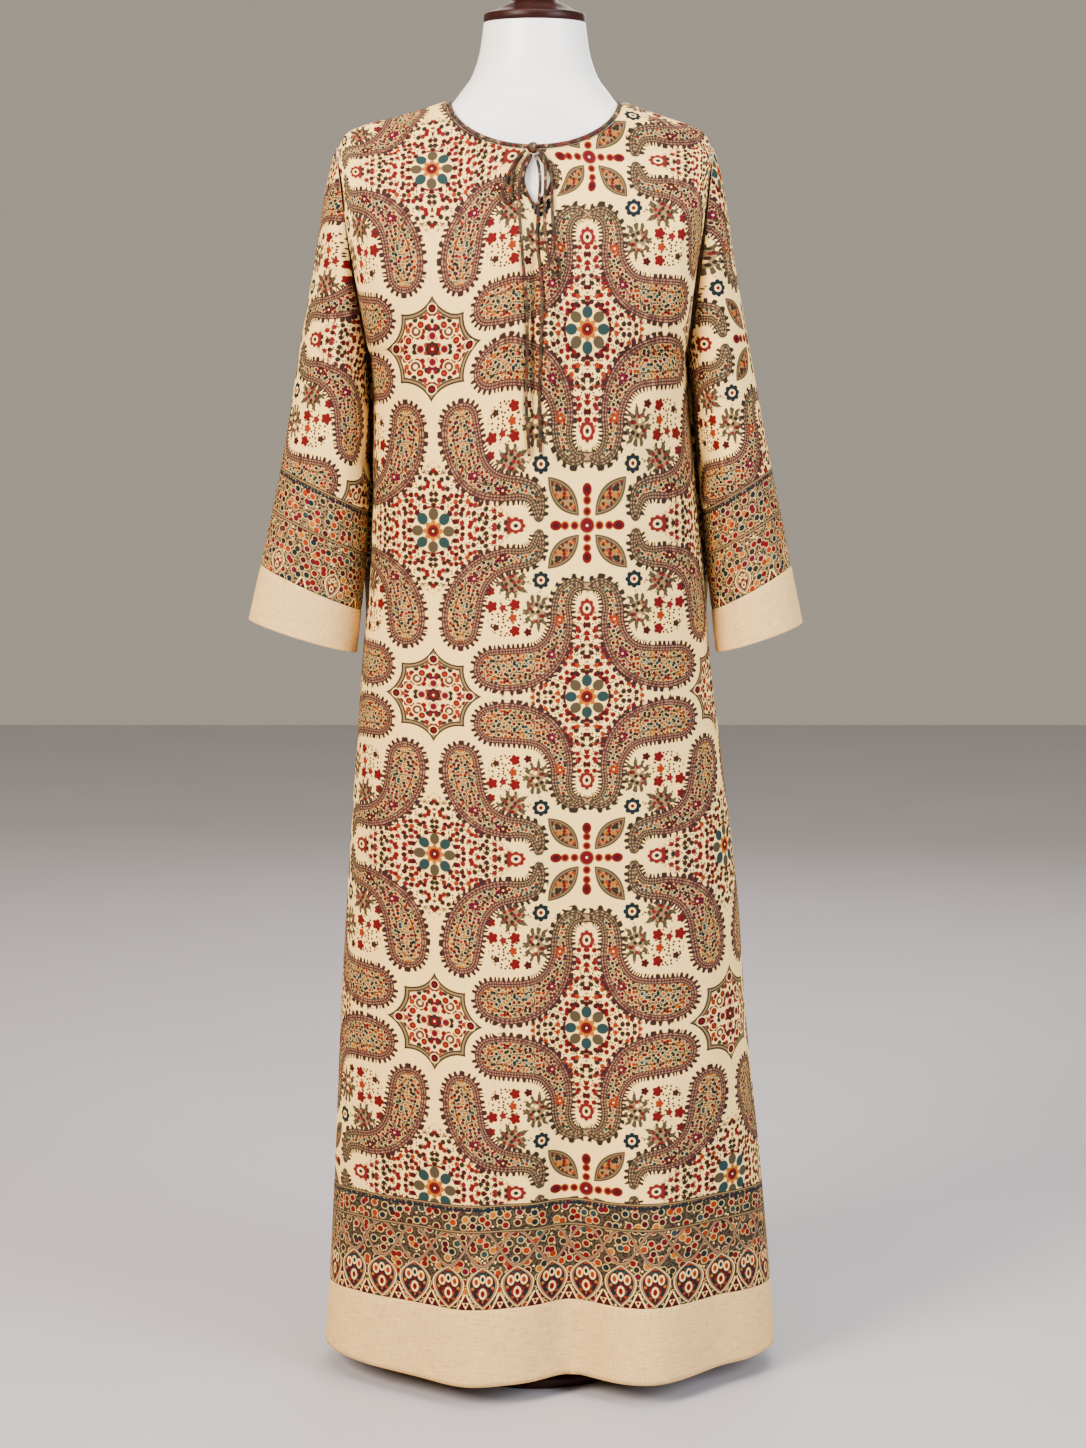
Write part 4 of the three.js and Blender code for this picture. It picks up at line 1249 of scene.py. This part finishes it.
def rosette(graph, colour, x, y, straight, slanting):
    """Eight round petals in two colours about a flaming centre, in a ring of beads."""
    far, _, beside = spokes(graph, x, y, 16)
    colour = nest(graph, colour, far, ((ROSETTE_CLEAR, CREAM),))
    bead = graph.length(far - ROSETTE_BEADS, beside)
    colour = nest(graph, colour, bead, ((2.7, RED_DARK),))
    _, along, beside = spokes(graph, x, y, 8)
    wave = graph.math("COSINE", graph.math("ARCTAN2", y, x) * 4)
    paint = graph.mix(slanting, straight, graph.math("GREATER_THAN", wave, 0.0))
    petal = graph.length((along - ROSETTE_PETALS) * 0.88, beside)
    colour = nest(graph, colour, petal, ((5.3, paint),))
    flame = far - graph.math("ABSOLUTE", wave) * 3.0
    colour = nest(graph, colour, flame, ((7.4, GOLD),))
    return nest(graph, colour, far, ((5.8, RED), (3.2, RED_DARK), (1.1, CREAM)))


def sprays(graph, colour, a, b, point):
    """Leaf sprays, a ring flower and the red blossoms between the two paisleys."""
    distance, pick = graph.cells(point, 1 / 4.4, 1.0)
    away = graph.length(a - TWIG_MIDDLE[0], (b - TWIG_MIDDLE[1]) * 0.9)
    twigs = graph.both(graph.inside(away - TWIG_REACH), graph.inside(distance - 0.27, 0.14))
    colour = graph.mix(colour, graph.ramp(pick, TWIG_PALETTE), twigs)
    for x, y, wide, tall, leaves in SPRAYS:
        left, up = (a - x) * (1 / wide), (b - y) * (1 / tall)
        edge, far = flower_shape(graph, left, up, 0.66, leaves, 0.52)
        ragged = graph.math("MULTIPLY_ADD", distance, 0.6, edge) - 0.24
        colour = graph.mix(colour, OLIVE, graph.inside(ragged, 0.06))
        colour = graph.mix(colour, OLIVE_LIGHT, graph.inside(far - 0.66, 0.06))
        fill = graph.both(graph.inside(far - 0.7, 0.06), graph.inside(distance - 0.46, 0.2))
        colour = graph.mix(colour, graph.ramp(pick, SPRAY_PALETTE), fill)
    heart = ((3.8, CREAM), (2.0, RED))
    colour = flower(graph, colour, a - 46, b - 53, (7.2, 8, 1.8), TEAL_DARK, heart)
    for x, y, size, paint in BLOSSOMS:
        colour = flower(graph, colour, a - x, b - y, (size * 0.78, 5, size * 0.36), paint)
    return colour


def paisleys(graph, colour, edge, place, share, point):
    """Serrated paisleys with a rim of dotted rows and a dense filling of small flowers."""
    tooth = graph.math("PINGPONG", place, TOOTH)
    tip = graph.math("MAXIMUM", edge - 2.9, 0.0)
    teeth = graph.length(tooth, tip) + (edge * 0.2 - 1.95)
    outline = graph.math("MINIMUM", edge, graph.math("MAXIMUM", teeth, edge - 4.6))
    colour = nest(graph, colour, outline, ((0, graph.ramp(share, RIM_DARK_PALETTE, False)),))
    row = graph.math("PINGPONG", edge + RIM_ROW * 0.5, RIM_ROW)
    body = graph.inside(edge + 0.5)
    rows = graph.both(body, graph.inside(0.4 - row))
    colour = graph.mix(colour, graph.ramp(share, RIM_PALETTE, False), rows)
    dot = graph.length(graph.math("PINGPONG", place, TOOTH * 0.62), RIM_ROW - row)
    colour = nest(graph, colour, dot, ((0.72, MAUVE_LIGHT),), body)
    inner = graph.inside(edge + RIM)
    colour = graph.mix(colour, OLIVE_LIGHT, inner)
    distance, pick = graph.cells(point, 1 / 2.0, 1.0)
    stipple = graph.both(graph.inside(distance - 0.42, 0.2), graph.inside(pick - 0.7, 0.1))
    colour = graph.mix(colour, OLIVE_DARK, graph.both(inner, stipple))
    distance, pick = graph.cells(point, 1 / 4.5, 0.85)
    paint = graph.ramp(pick, HEAD_PALETTE)
    for paints, end in ((BODY_PALETTE, 0.3), (TAIL_PALETTE, 0.74)):
        paint = graph.mix(paint, graph.ramp(pick, paints), graph.inside(end - share, 0.05))
    for size, coat in ((0.5, CREAM), (0.43, paint)):
        mask = graph.both(inner, graph.inside(distance - size, 0.12))
        colour = graph.mix(colour, coat, mask)
    for middle, low, high in ((RIM * 2.1, 0.5, 0.5), (RIM, 0.5, 0.3)):
        line = graph.between(edge, -middle - low, -middle + high)
        colour = graph.mix(colour, OLIVE_DARK, line)
    return colour


def border(graph, colour, u, above, band):
    """The bands above the plain hem or cuff: flowers in a net, and a row of shields."""
    point = graph.place(u, above)
    zone = graph.inside(above - band["upper"])
    colour = graph.mix(colour, band["ground"], zone)
    colour = spots(graph, colour, point, 2.7, 1.0, 0.4, NET_PALETTE, zone, 0.14)
    distance, pick = graph.cells(point, 1 / band["floret"], 0.8)
    ring = graph.between(distance, 0.4, 0.5, 0.1)
    colour = graph.mix(colour, OLIVE_DARK, graph.both(zone, ring))
    for size, paint in ((0.41, CREAM), (0.36, graph.ramp(pick, BORDER_PALETTE))):
        mask = graph.both(zone, graph.inside(distance - size, 0.1))
        colour = graph.mix(colour, paint, mask)
    if band["net"]:
        colour = net_arches(graph, colour, u, above, band)
    chain = graph.length(graph.math("PINGPONG", u, 1.9), above - (band["upper"] - 3.6))
    colour = nest(graph, colour, chain, ((1.8, TEAL_DARK),))
    for height in (band["lower"], band["upper"]):
        away = graph.math("ABSOLUTE", above - height)
        colour = nest(graph, colour, away, ((1.7, OLIVE_DARK), (0.7, OLIVE_LIGHT)))
    colour = corner_triangles(graph, colour, u, above, band)
    return shields(graph, colour, u, above, band)


def net_arches(graph, colour, u, above, band):
    """Two crossing waves of pale ogee lines between the shields and the upper band."""
    tall, low = band["tall"], band["lower"]
    middle, swing = (tall + low) / 2, (low - tall) / 2
    zone = graph.both(graph.inside(above - low), graph.inside(tall - 4 - above))
    for start in (0.0, math.pi):
        wave = graph.math("COSINE", u * (math.pi / band["pitch"]) + start)
        arch = graph.math("ABSOLUTE", above - (wave * swing + middle))
        coats = ((2.8, OLIVE_DARK), (1.8, MAUVE_LIGHT), (0.5, OLIVE))
        colour = nest(graph, colour, arch, coats, zone)
    return colour


def corner_triangles(graph, colour, u, above, band):
    """Dark red triangles on the ground between the feet of the shields."""
    gap = band["pitch"] / 2 - graph.math("PINGPONG", u, band["pitch"] / 2)
    tall = band["triangle"] * 2
    edge = graph.math("MULTIPLY_ADD", above, 0.5, gap) - band["triangle"]
    colour = nest(graph, colour, edge, ((1.6, CREAM),), graph.inside(above - tall))
    colour = nest(graph, colour, edge, ((0, RED_DARK),))
    within = graph.inside(edge)
    turned = graph.math("MAXIMUM", gap - above * 0.5, above - tall * 0.5)
    colour = nest(graph, colour, turned, ((-0.4, CREAM),), within)
    heart = graph.length(gap, above - tall * 0.36)
    return nest(graph, colour, heart, ((1.6, RED),), within)


def shields(graph, colour, u, above, band):
    """A row of pointed shields in two colours, with outlines and drops in each."""
    pitch, tall, wide = band["pitch"], band["tall"], band["wide"]
    across = graph.math("PINGPONG", u, pitch / 2)
    upper = (above - tall * 0.6) / (tall * 0.4)
    lower = (tall * 0.6 - above) / (tall * 0.6)
    up = graph.math("MAXIMUM", lower, upper)
    shield = across + (graph.math("MULTIPLY", up, up) - 1) * wide
    zone = graph.inside(above - tall)
    colour = nest(graph, colour, shield, SHIELD_COATS, zone)
    odd = graph.math("PINGPONG", graph.math("FLOOR", u * (1 / pitch) + 0.5), 1.0)
    heart = graph.both(zone, graph.inside(shield + 4.7))
    colour = graph.mix(colour, graph.mix(MAUVE_DARK, TEAL_DARK, odd), heart)
    point = graph.place(across, above)
    colour = spots(graph, colour, point, 3.6, 0.9, 0.44, BORDER_PALETTE, heart, 0.14)
    for x, height, size, paint in SHIELD_DROPS:
        drop = graph.length(across - wide * x, (above - tall * height) * 0.66)
        coats = ((wide * size, CREAM), (wide * size * 0.62, paint))
        colour = nest(graph, colour, drop, coats, heart)
    return colour


# ---------------------------------------------------------------- materials

SPECULAR = "Specular IOR Level"
REVERSE_PALE = srgb(214, 186, 148)
REVERSE_GHOST = srgb(176, 132, 108)
COTTON_DARK = srgb(184, 140, 80)
COTTON_MIDDLE = srgb(220, 180, 112)
COTTON_PALE = srgb(246, 208, 140)
COTTON_SLUB = srgb(244, 212, 150)
SHELL_SHADE = srgb(240, 236, 232)
SHELL_WHITE = srgb(248, 246, 243)
WOOD_STOPS = ((0.3, srgb(20, 6, 5)), (0.5, srgb(38, 13, 10)), (0.72, srgb(56, 20, 14)))
WOOD_PORE = srgb(14, 5, 4)
METAL_DARK = srgb(128, 126, 124)
METAL_PALE = srgb(170, 168, 164)
FLOOR_DARK = srgb(168, 163, 168)
FLOOR_PALE = srgb(176, 171, 176)
WALL_LIGHT = srgb(198, 188, 172)
BINDING_PALETTE = palette(
    OLIVE, 0.26, MAUVE_DARK, 0.4, RED_DARK, 0.5, MAUVE, 0.62, OLIVE_DARK, 0.8, RED,
    0.86, TEAL_DARK, 0.93, MAUVE_LIGHT,
)


def weave_height(graph, u, v):
    """Threads of a plain weave."""
    warp = graph.math("SINE", u * 9.0)
    weft = graph.math("SINE", v * 8.2)
    return warp * weft


def slub_shade(graph, u, v):
    """Lighter and darker threads along both ways of the cloth, about 0.5."""
    long_way = graph.noise(graph.place(u * 0.9, v * 0.02), 1.0, 3.0)
    cross_way = graph.noise(graph.place(u * 0.02, v * 1.1), 1.0, 3.0)
    return (long_way + cross_way) * 0.5


def printed_cloth(name, band):
    graph = Graph(name)
    colour, u, v = print_colour(graph, band)
    shade = slub_shade(graph, u, v)
    tone = graph.math("MULTIPLY_ADD", shade, 0.3, 0.85)
    inputs = {0: colour, "Scale": tone}
    scaled = graph.node("ShaderNodeVectorMath", inputs, operation="SCALE")
    normal = graph.cloth_bump(weave_height(graph, u, v) + shade, 0.25, 0.0004)
    roughness = graph.math("MULTIPLY_ADD", shade, 0.2, 0.7)
    return graph.finish(scaled.outputs[0], roughness, normal, {SPECULAR: 0.12})


def cloth_reverse():
    """The print's wrong side: pale, with the colours only ghosting through."""
    graph = Graph("cloth_reverse")
    u, v, _ = graph.split("print_place")
    blot = graph.noise(graph.place(u * 0.11, v * 0.11), 1.0, 4.0, 0.6)
    colour = graph.mix(REVERSE_PALE, REVERSE_GHOST, graph.stretch(blot, 2.4, -0.8))
    height = weave_height(graph, u, v) + slub_shade(graph, u, v)
    return graph.finish(colour, 0.8, graph.cloth_bump(height, 0.25, 0.0004))


def plain_cloth():
    """Unprinted cotton in a plain weave, with uneven threads both ways."""
    graph = Graph("plain_cloth")
    u, v, above = graph.split("print_place")
    weft = graph.noise(graph.place(u * 0.06, above * 1.5), 1.0, 4.0, 0.65)
    warp = graph.noise(graph.place(u * 1.4, above * 0.06), 1.0, 4.0, 0.65)
    threads = weft * 0.65 + warp * 0.35
    cloudy = graph.noise(graph.place(u * 0.04, above * 0.04), 1.0, 2.0)
    colour = graph.mix(COTTON_DARK, COTTON_PALE, graph.stretch(threads, 4.2, -1.6))
    colour = graph.mix(colour, COTTON_MIDDLE, cloudy * 0.4)
    colour = graph.mix(colour, COTTON_SLUB, graph.stretch(weft, 7.0, -4.6) * 0.6)
    height = weave_height(graph, u, v) * 0.5 + threads * 2.0
    return graph.finish(colour, 0.76, graph.cloth_bump(height, 0.4, 0.0005), {SPECULAR: 0.2})


def binding_cloth():
    """The print cut on the bias and folded narrow, so that only its dashes of colour show."""
    graph = Graph("binding_cloth")
    point = graph.object_place()
    _, pick = graph.cells(point, 240, 1.0, "3D")
    fine = graph.noise(point, 900, 2.0)
    paint = graph.ramp(pick, BINDING_PALETTE)
    colour = graph.mix(OLIVE, paint, graph.stretch(fine, 1.6, 0.0))
    return graph.finish(colour, 0.74, graph.cloth_bump(fine, 0.4, 0.0004), {SPECULAR: 0.12})


def form_shell():
    """Smooth white lacquer with a barely uneven surface."""
    graph = Graph("form_shell")
    point = graph.object_place()
    wave = graph.noise(point, 14, 2.0)
    fine = graph.noise(point, 620, 2.0)
    colour = graph.mix(SHELL_SHADE, SHELL_WHITE, wave)
    normal = graph.cloth_bump(wave * 3.0 + fine * 0.2, 0.12, 0.001)
    roughness = graph.math("MULTIPLY_ADD", fine, 0.1, 0.3)
    coat = {"Coat Weight": 0.15, "Coat Roughness": 0.2}
    return graph.finish(colour, roughness, normal, coat)


def dark_wood():
    """Polished mahogany, its grain running round the turning."""
    graph = Graph("dark_wood")
    point = graph.object_place(9.0)
    grain = graph.noise(point, 42, 6.0, 0.65)
    pores = graph.noise(point, 260, 3.0, 0.6)
    colour = graph.ramp(grain, WOOD_STOPS, False)
    colour = graph.mix(colour, WOOD_PORE, graph.stretch(pores, 4.0, -2.4))
    roughness = graph.math("MULTIPLY_ADD", pores, 0.12, 0.34)
    normal = graph.cloth_bump(pores, 0.08, 0.0005)
    return graph.finish(colour, roughness, normal, {SPECULAR: 0.16})


def pole_metal():
    graph = Graph("pole_metal")
    brushed = graph.noise(graph.object_place(30.0), 120, 3.0)
    colour = graph.mix(METAL_DARK, METAL_PALE, brushed)
    roughness = graph.math("MULTIPLY_ADD", brushed, 0.18, 0.24)
    normal = graph.cloth_bump(brushed, 0.05, 0.0004)
    return graph.finish(colour, roughness, normal, {"Metallic": 1.0})


def floor_material():
    graph = Graph("floor_pale")
    grain = graph.noise(graph.object_place(), 3.0, 3.0)
    return graph.finish(graph.mix(FLOOR_DARK, FLOOR_PALE, grain), 0.6)


# ---------------------------------------------------------------- pieces

IMAGE_HIGH = 1448
CAMERA_FOCAL_PX = 3150
CAMERA_PLACE = (9, -3458, 1135.2)
CAMERA_PITCH = 6.825
CAMERA_SENSOR = 36
# The knot's mesh, and the turns of the cord that swell it.
KNOT_RINGS, KNOT_SIDES = 36, 64
KNOT_GROOVE, KNOT_LEAN, KNOT_TWIST = 0.13, 0.9, 2.2
NORMAL_STEP = 0.5
# The form's foot is rounded below its lowest full ring.
FORM_FOOT_LOSS, FORM_FOOT_TALL = 0.02, 2.0
FORM_SIDES, FORM_ROWS = 128, 150
# Turned profiles: radius and height from the foot.
CAP_PLACE = (0, 12, 1482.8)
CAP_PROFILE = (
    (53, 0), (54.2, 0.5), (55, 1.8), (55.2, 5), (55, 8), (54, 9.4), (52.4, 9.8), (51, 10.4),
    (48.6, 11.2), (44, 12.6), (40, 15), (36, 17.8), (32, 19.8), (28, 21.2), (25.6, 22.8),
    (24.2, 25), (23.8, 28), (24.2, 31), (25.6, 33.6), (28, 36.6), (30, 39.8), (31, 43.4),
    (30.8, 47.4), (29, 51), (25.6, 53.8), (20.6, 55.9), (14, 57.2), (7, 57.9), (1, 58),
)
BASE_PROFILE = (
    (112, 0), (114.2, 0.8), (115, 3), (115, 8.6), (114.3, 10.6), (112.6, 12), (110, 12.9),
    (104, 13.9), (92, 15.4), (75, 17), (60, 18.1), (46, 19.1), (34, 20.2), (29, 21.6),
    (26.4, 23.2), (26, 24),
)
# The pole: radii at its ends, beside them, along it and at its collar, and the collar's rows.
POLE_END, POLE_EDGE, POLE, COLLAR = 12.6, 13.8, 14, 15.2
COLLAR_ROWS = (240, 242, 262, 264)
# What each sheet is cut from: width and height in metres, by part.
PANEL_FLAT, HEM_BAND_FLAT = (0.66, 1.33), (0.68, 0.09)
SLEEVE_FLAT, CUFF_FLAT = (0.42, 0.45), (0.36, 0.062)
# Lights, in metres: name, place, what it points at, size, power and colour.
LIGHTS = (
    ("key_warm", (-2.3, -2.6, 2.6), (0, 0, 0.85), (1.3, 1.8), 390, (1.0, 0.88, 0.74)),
    ("fill_cool", (2.6, -2.2, 1.9), (0, 0, 0.8), (1.6, 2.0), 190, (0.88, 0.93, 1.0)),
    ("top_soft", (0.2, -0.6, 3.4), (0, 0, 0.6), (2.4, 2.4), 105, (1.0, 0.98, 0.95)),
    ("back_soft", (0.4, 2.8, 2.2), (0, 0, 0.9), (2.0, 2.0), 50, (1.0, 0.96, 0.92)),
)
FLOOR_REACH = 6
WORLD_STRENGTH = 0.7


def own(piece, nodes):
    """A piece rides on the one body and stands for its CAD nodes."""
    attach(piece, BODY)
    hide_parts(*nodes)
    return piece


def make_camera():
    data = bpy.data.cameras.new("camera")
    data.sensor_width = CAMERA_SENSOR
    data.lens = CAMERA_SENSOR * CAMERA_FOCAL_PX / IMAGE_HIGH
    camera = link_object("camera", data)
    camera.location = [value * MM for value in CAMERA_PLACE]
    camera.rotation_euler = (HALF_PI - math.radians(CAMERA_PITCH), 0, 0)
    bpy.context.scene.camera = camera


def make_ties(material):
    """The four tie cords, each one smooth curve along its CAD route."""
    knot_y = front_depth(KNOT["x"], KNOT["z"]) - CORD_LIFT
    for name, rows in TIES.items():
        route = []
        for x, z, lift in rows:
            crease = float(crease_at("front", np.float64(x), z) * keyhole_calm(x, z))
            route.append((x, front_depth(x, z) - CORD_LIFT - lift - max(0, crease), z))
        line = catmull_rom(route, 6) * MM
        data = bpy.data.curves.new(name + "_cord", "CURVE")
        data.dimensions = "3D"
        data.bevel_depth = CORD / 2 * MM
        data.bevel_resolution = 3
        data.use_fill_caps = True
        spline = data.splines.new("POLY")
        spline.points.add(len(line) - 1)
        for point, place in zip(spline.points, line):
            point.co = (*place, 1)
        data.materials.append(material)
        piece = own(link_object(name + "_cord", data), [name])


def make_knot(material):
    """The knot: a small ball of three crossed turns of the cord."""
    turn = round_turn(KNOT_SIDES)
    middle = front_depth(KNOT["x"], KNOT["z"]) - KNOT["depth"] / 2
    rings = []
    for i in range(1, KNOT_RINGS):
        polar = math.pi * i / KNOT_RINGS
        lean = turn + KNOT_LEAN * math.cos(polar)
        groove = np.abs(np.cos(1.5 * lean + KNOT_TWIST * polar)) ** 3
        swell = 1 - KNOT_GROOVE * groove
        x = KNOT["x"] + KNOT["width"] / 2 * math.sin(polar) * np.cos(turn) * swell
        y = middle + KNOT["depth"] / 2 * math.sin(polar) * np.sin(turn) * swell
        z = KNOT["z"] + KNOT["height"] / 2 * math.cos(polar) * swell
        rings.append(np.stack([x, y, z], axis=-1))
    own(surface_piece("tie_knot_turns", rings, material), ["tie_knot"])


def form_normal(point):
    """The dress form's outward direction at a place."""

    def measure(x, y, z):
        face = "front" if y < form["y"](z) else "back"
        return (x / form["half"](z)) ** 2 + ((y - form["y"](z)) / form[face](z)) ** 2

    moved = [measure(*(point + step)) for step in np.eye(3) * NORMAL_STEP]
    return unit(np.array(moved) - measure(*point))


def strip_piece(name, route, inward, size, material):
    """A strip of oval section beside a route, away from it to the side that inward gives."""
    turn = round_turn(STRIP_SIDES)
    last = len(route) - 1
    rings = []
    for i, point in enumerate(route):
        ahead = unit(route[min(i + 1, last)] - route[max(i - 1, 0)])
        up = inward(point, ahead)
        up = unit(up - ahead * np.dot(up, ahead))
        across = size["thick"] / 2 * np.cos(turn)[:, None] * np.cross(up, ahead)
        rise = size["rise"] + size["tall"] / 2 * np.sin(turn)
        rings.append(point + across + rise[:, None] * up)
    return surface_piece(name, rings, material)


def make_neck_binding(material):
    """The folded binding on the neck edge, from one side of the knot round to the other."""
    route = []
    for face, side, first, last in NECK_LEGS:
        ends = {"middle": 0, "shoulder": neck_share(side)}
        if face == "front":
            ends["middle"] = math.asin(KNOT_ROOM[side] / reach(side, SHOULDER_Z)) / HALF_PI
        for share in np.linspace(ends[first], ends[last], NECK_STEPS + 1)[1 if route else 0 :]:
            top_z, _ = panel_top(face, side, np.array(share))
            point = gown_points(face, side, share, float(top_z))
            route.append(point + form_normal(point) * NECK_BINDING["lift"])
    route = np.array(route)
    for _ in range(NECK_EASING):
        route[1:-1] = (route[:-2] + 2 * route[1:-1] + route[2:]) / 4

    def inward(point, ahead):
        return np.cross(ahead, form_normal(point))

    piece = strip_piece("neck_binding_fold", route, inward, NECK_BINDING, material)
    own(piece, ["neck_binding"])


def make_keyhole_binding(material):
    """The narrow binding round the keyhole's edge."""
    heights = np.linspace(KEYHOLE_Z, KNOT["z"] - KNOT["height"] / 2, KEYHOLE_STEPS + 1)
    left, right = ([gown_points("front", side, 0, z) for z in heights] for side in SIDES)

    def inward(point, _):
        return np.array([-point[0], 0, KEYHOLE_MIDDLE_Z - point[2]])

    route = left[:0:-1] + right
    piece = strip_piece("keyhole_binding_fold", route, inward, KEYHOLE_BINDING, material)
    own(piece, ["keyhole_binding"])


def make_torso(shell):
    """The form's shell, from its sections, with a small round at the foot."""
    top, foot = FORM[0][0], FORM[-1][0]
    middle = np.linspace(foot + 4, top - 0.2, FORM_ROWS)
    heights = np.concatenate([[foot + 0.2, foot + 1], middle, [top]])
    turn = round_turn(FORM_SIDES)
    rings = []
    for z in heights:
        shrink = 1 - FORM_FOOT_LOSS * math.exp(-((z - foot) / FORM_FOOT_TALL) ** 2)
        depth = np.where(np.sin(turn) < 0, form["front"](z), form["back"](z)) * shrink
        x = form["half"](z) * shrink * np.cos(turn)
        y = form["y"](z) + depth * np.sin(turn)
        rings.append(np.stack([x, y, np.full(len(turn), z)], axis=-1))
    own(surface_piece("form_torso_shell", rings, shell), ["form_torso"])


def make_stand(wood, metal):
    """The neck cap, the pole with its collar, and the round base."""
    cap = turned_piece("form_cap_turning", CAP_PROFILE, CAP_PLACE, wood)
    own(cap, ["form_neck_cap"])
    low, high = (corner.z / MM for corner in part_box("form_pole"))
    radii = (POLE_END, POLE_EDGE, POLE, POLE, COLLAR, COLLAR, POLE, POLE, POLE_EDGE, POLE_END)
    rows = (low, low + 0.6, low + 2, *COLLAR_ROWS, high - 2, high - 0.6, high)
    pole = turned_piece("form_pole_tube", tuple(zip(radii, rows)), (0, 0, 0), metal, 64)
    own(pole, ["form_pole"])
    base = turned_piece("form_base_disc", BASE_PROFILE, (0, 0, 0), wood)
    own(base, ["form_base"])


def declare_sheet(piece, flat):
    """Works out a piece's area, half the closed shell's surface, no more than its flat cut; the
    result is not used.
    """
    area = sum(polygon.area for polygon in piece.data.polygons) / 2
    area = min(area, flat[0] * flat[1])


def make_cloth():
    reverse = cloth_reverse()
    gown_cloths = [printed_cloth("printed_cloth", GOWN_BAND), reverse]
    sleeve_cloths = [printed_cloth("printed_sleeve_cloth", SLEEVE_BAND), reverse]
    plain = plain_cloth()
    for face in ("front", "back"):
        panel = gown_piece(f"{face}_panel_cloth", face, True, gown_cloths)
        own(panel, [f"{face}_panel"])
        declare_sheet(panel, PANEL_FLAT)
        band = gown_piece(f"{face}_hem_band_cloth", face, False, [plain])
        own(band, [f"{face}_hem_band"])
        declare_sheet(band, HEM_BAND_FLAT)
    for name in SIDES:
        sleeve = sleeve_piece(name, "sleeve", SLEEVE_START, CUFF_START, sleeve_cloths)
        own(sleeve, [f"{name}_sleeve"])
        declare_sheet(sleeve, SLEEVE_FLAT)
        cuff = sleeve_piece(name, "cuff", CUFF_START + CUFF_GAP, 1, [plain])
        own(cuff, [f"{name}_cuff"])
        declare_sheet(cuff, CUFF_FLAT)


def make_stage():
    """A pale floor and backdrop, with a warm light on the left and a cool one on the right."""
    mesh = bpy.data.meshes.new("floor")
    corners = ((-1, -1), (1, -1), (1, 1), (-1, 1))
    corners = [(x * FLOOR_REACH, y * FLOOR_REACH, 0) for x, y in corners]
    mesh.from_pydata(corners, [], [(0, 1, 2, 3)])
    mesh.materials.append(floor_material())
    link_object("floor", mesh)
    for name, place, aim, size, power, colour in LIGHTS:
        data = bpy.data.lights.new(name, "AREA")
        data.shape = "RECTANGLE"
        data.size, data.size_y = size
        data.energy = power
        data.color = colour
        light = link_object(name, data)
        light.location = place
        light.rotation_euler = (Vector(aim) - Vector(place)).to_track_quat("-Z", "Y").to_euler()
    world = bpy.data.worlds.new("studio")
    world.use_nodes = True
    background = world.node_tree.nodes["Background"]
    background.inputs["Color"].default_value = WALL_LIGHT
    background.inputs["Strength"].default_value = WORLD_STRENGTH
    bpy.context.scene.world = world


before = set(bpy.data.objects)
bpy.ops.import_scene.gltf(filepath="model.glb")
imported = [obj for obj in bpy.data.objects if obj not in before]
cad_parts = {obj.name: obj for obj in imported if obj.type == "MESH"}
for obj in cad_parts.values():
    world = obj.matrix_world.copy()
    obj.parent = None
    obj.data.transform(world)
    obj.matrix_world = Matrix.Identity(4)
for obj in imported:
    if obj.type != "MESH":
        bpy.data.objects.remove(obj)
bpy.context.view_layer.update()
make_camera()
tie_cloth = binding_cloth()
make_ties(tie_cloth)
make_knot(tie_cloth)
make_neck_binding(tie_cloth)
make_keyhole_binding(tie_cloth)
make_cloth()
make_torso(form_shell())
make_stand(dark_wood(), pole_metal())
make_stage()
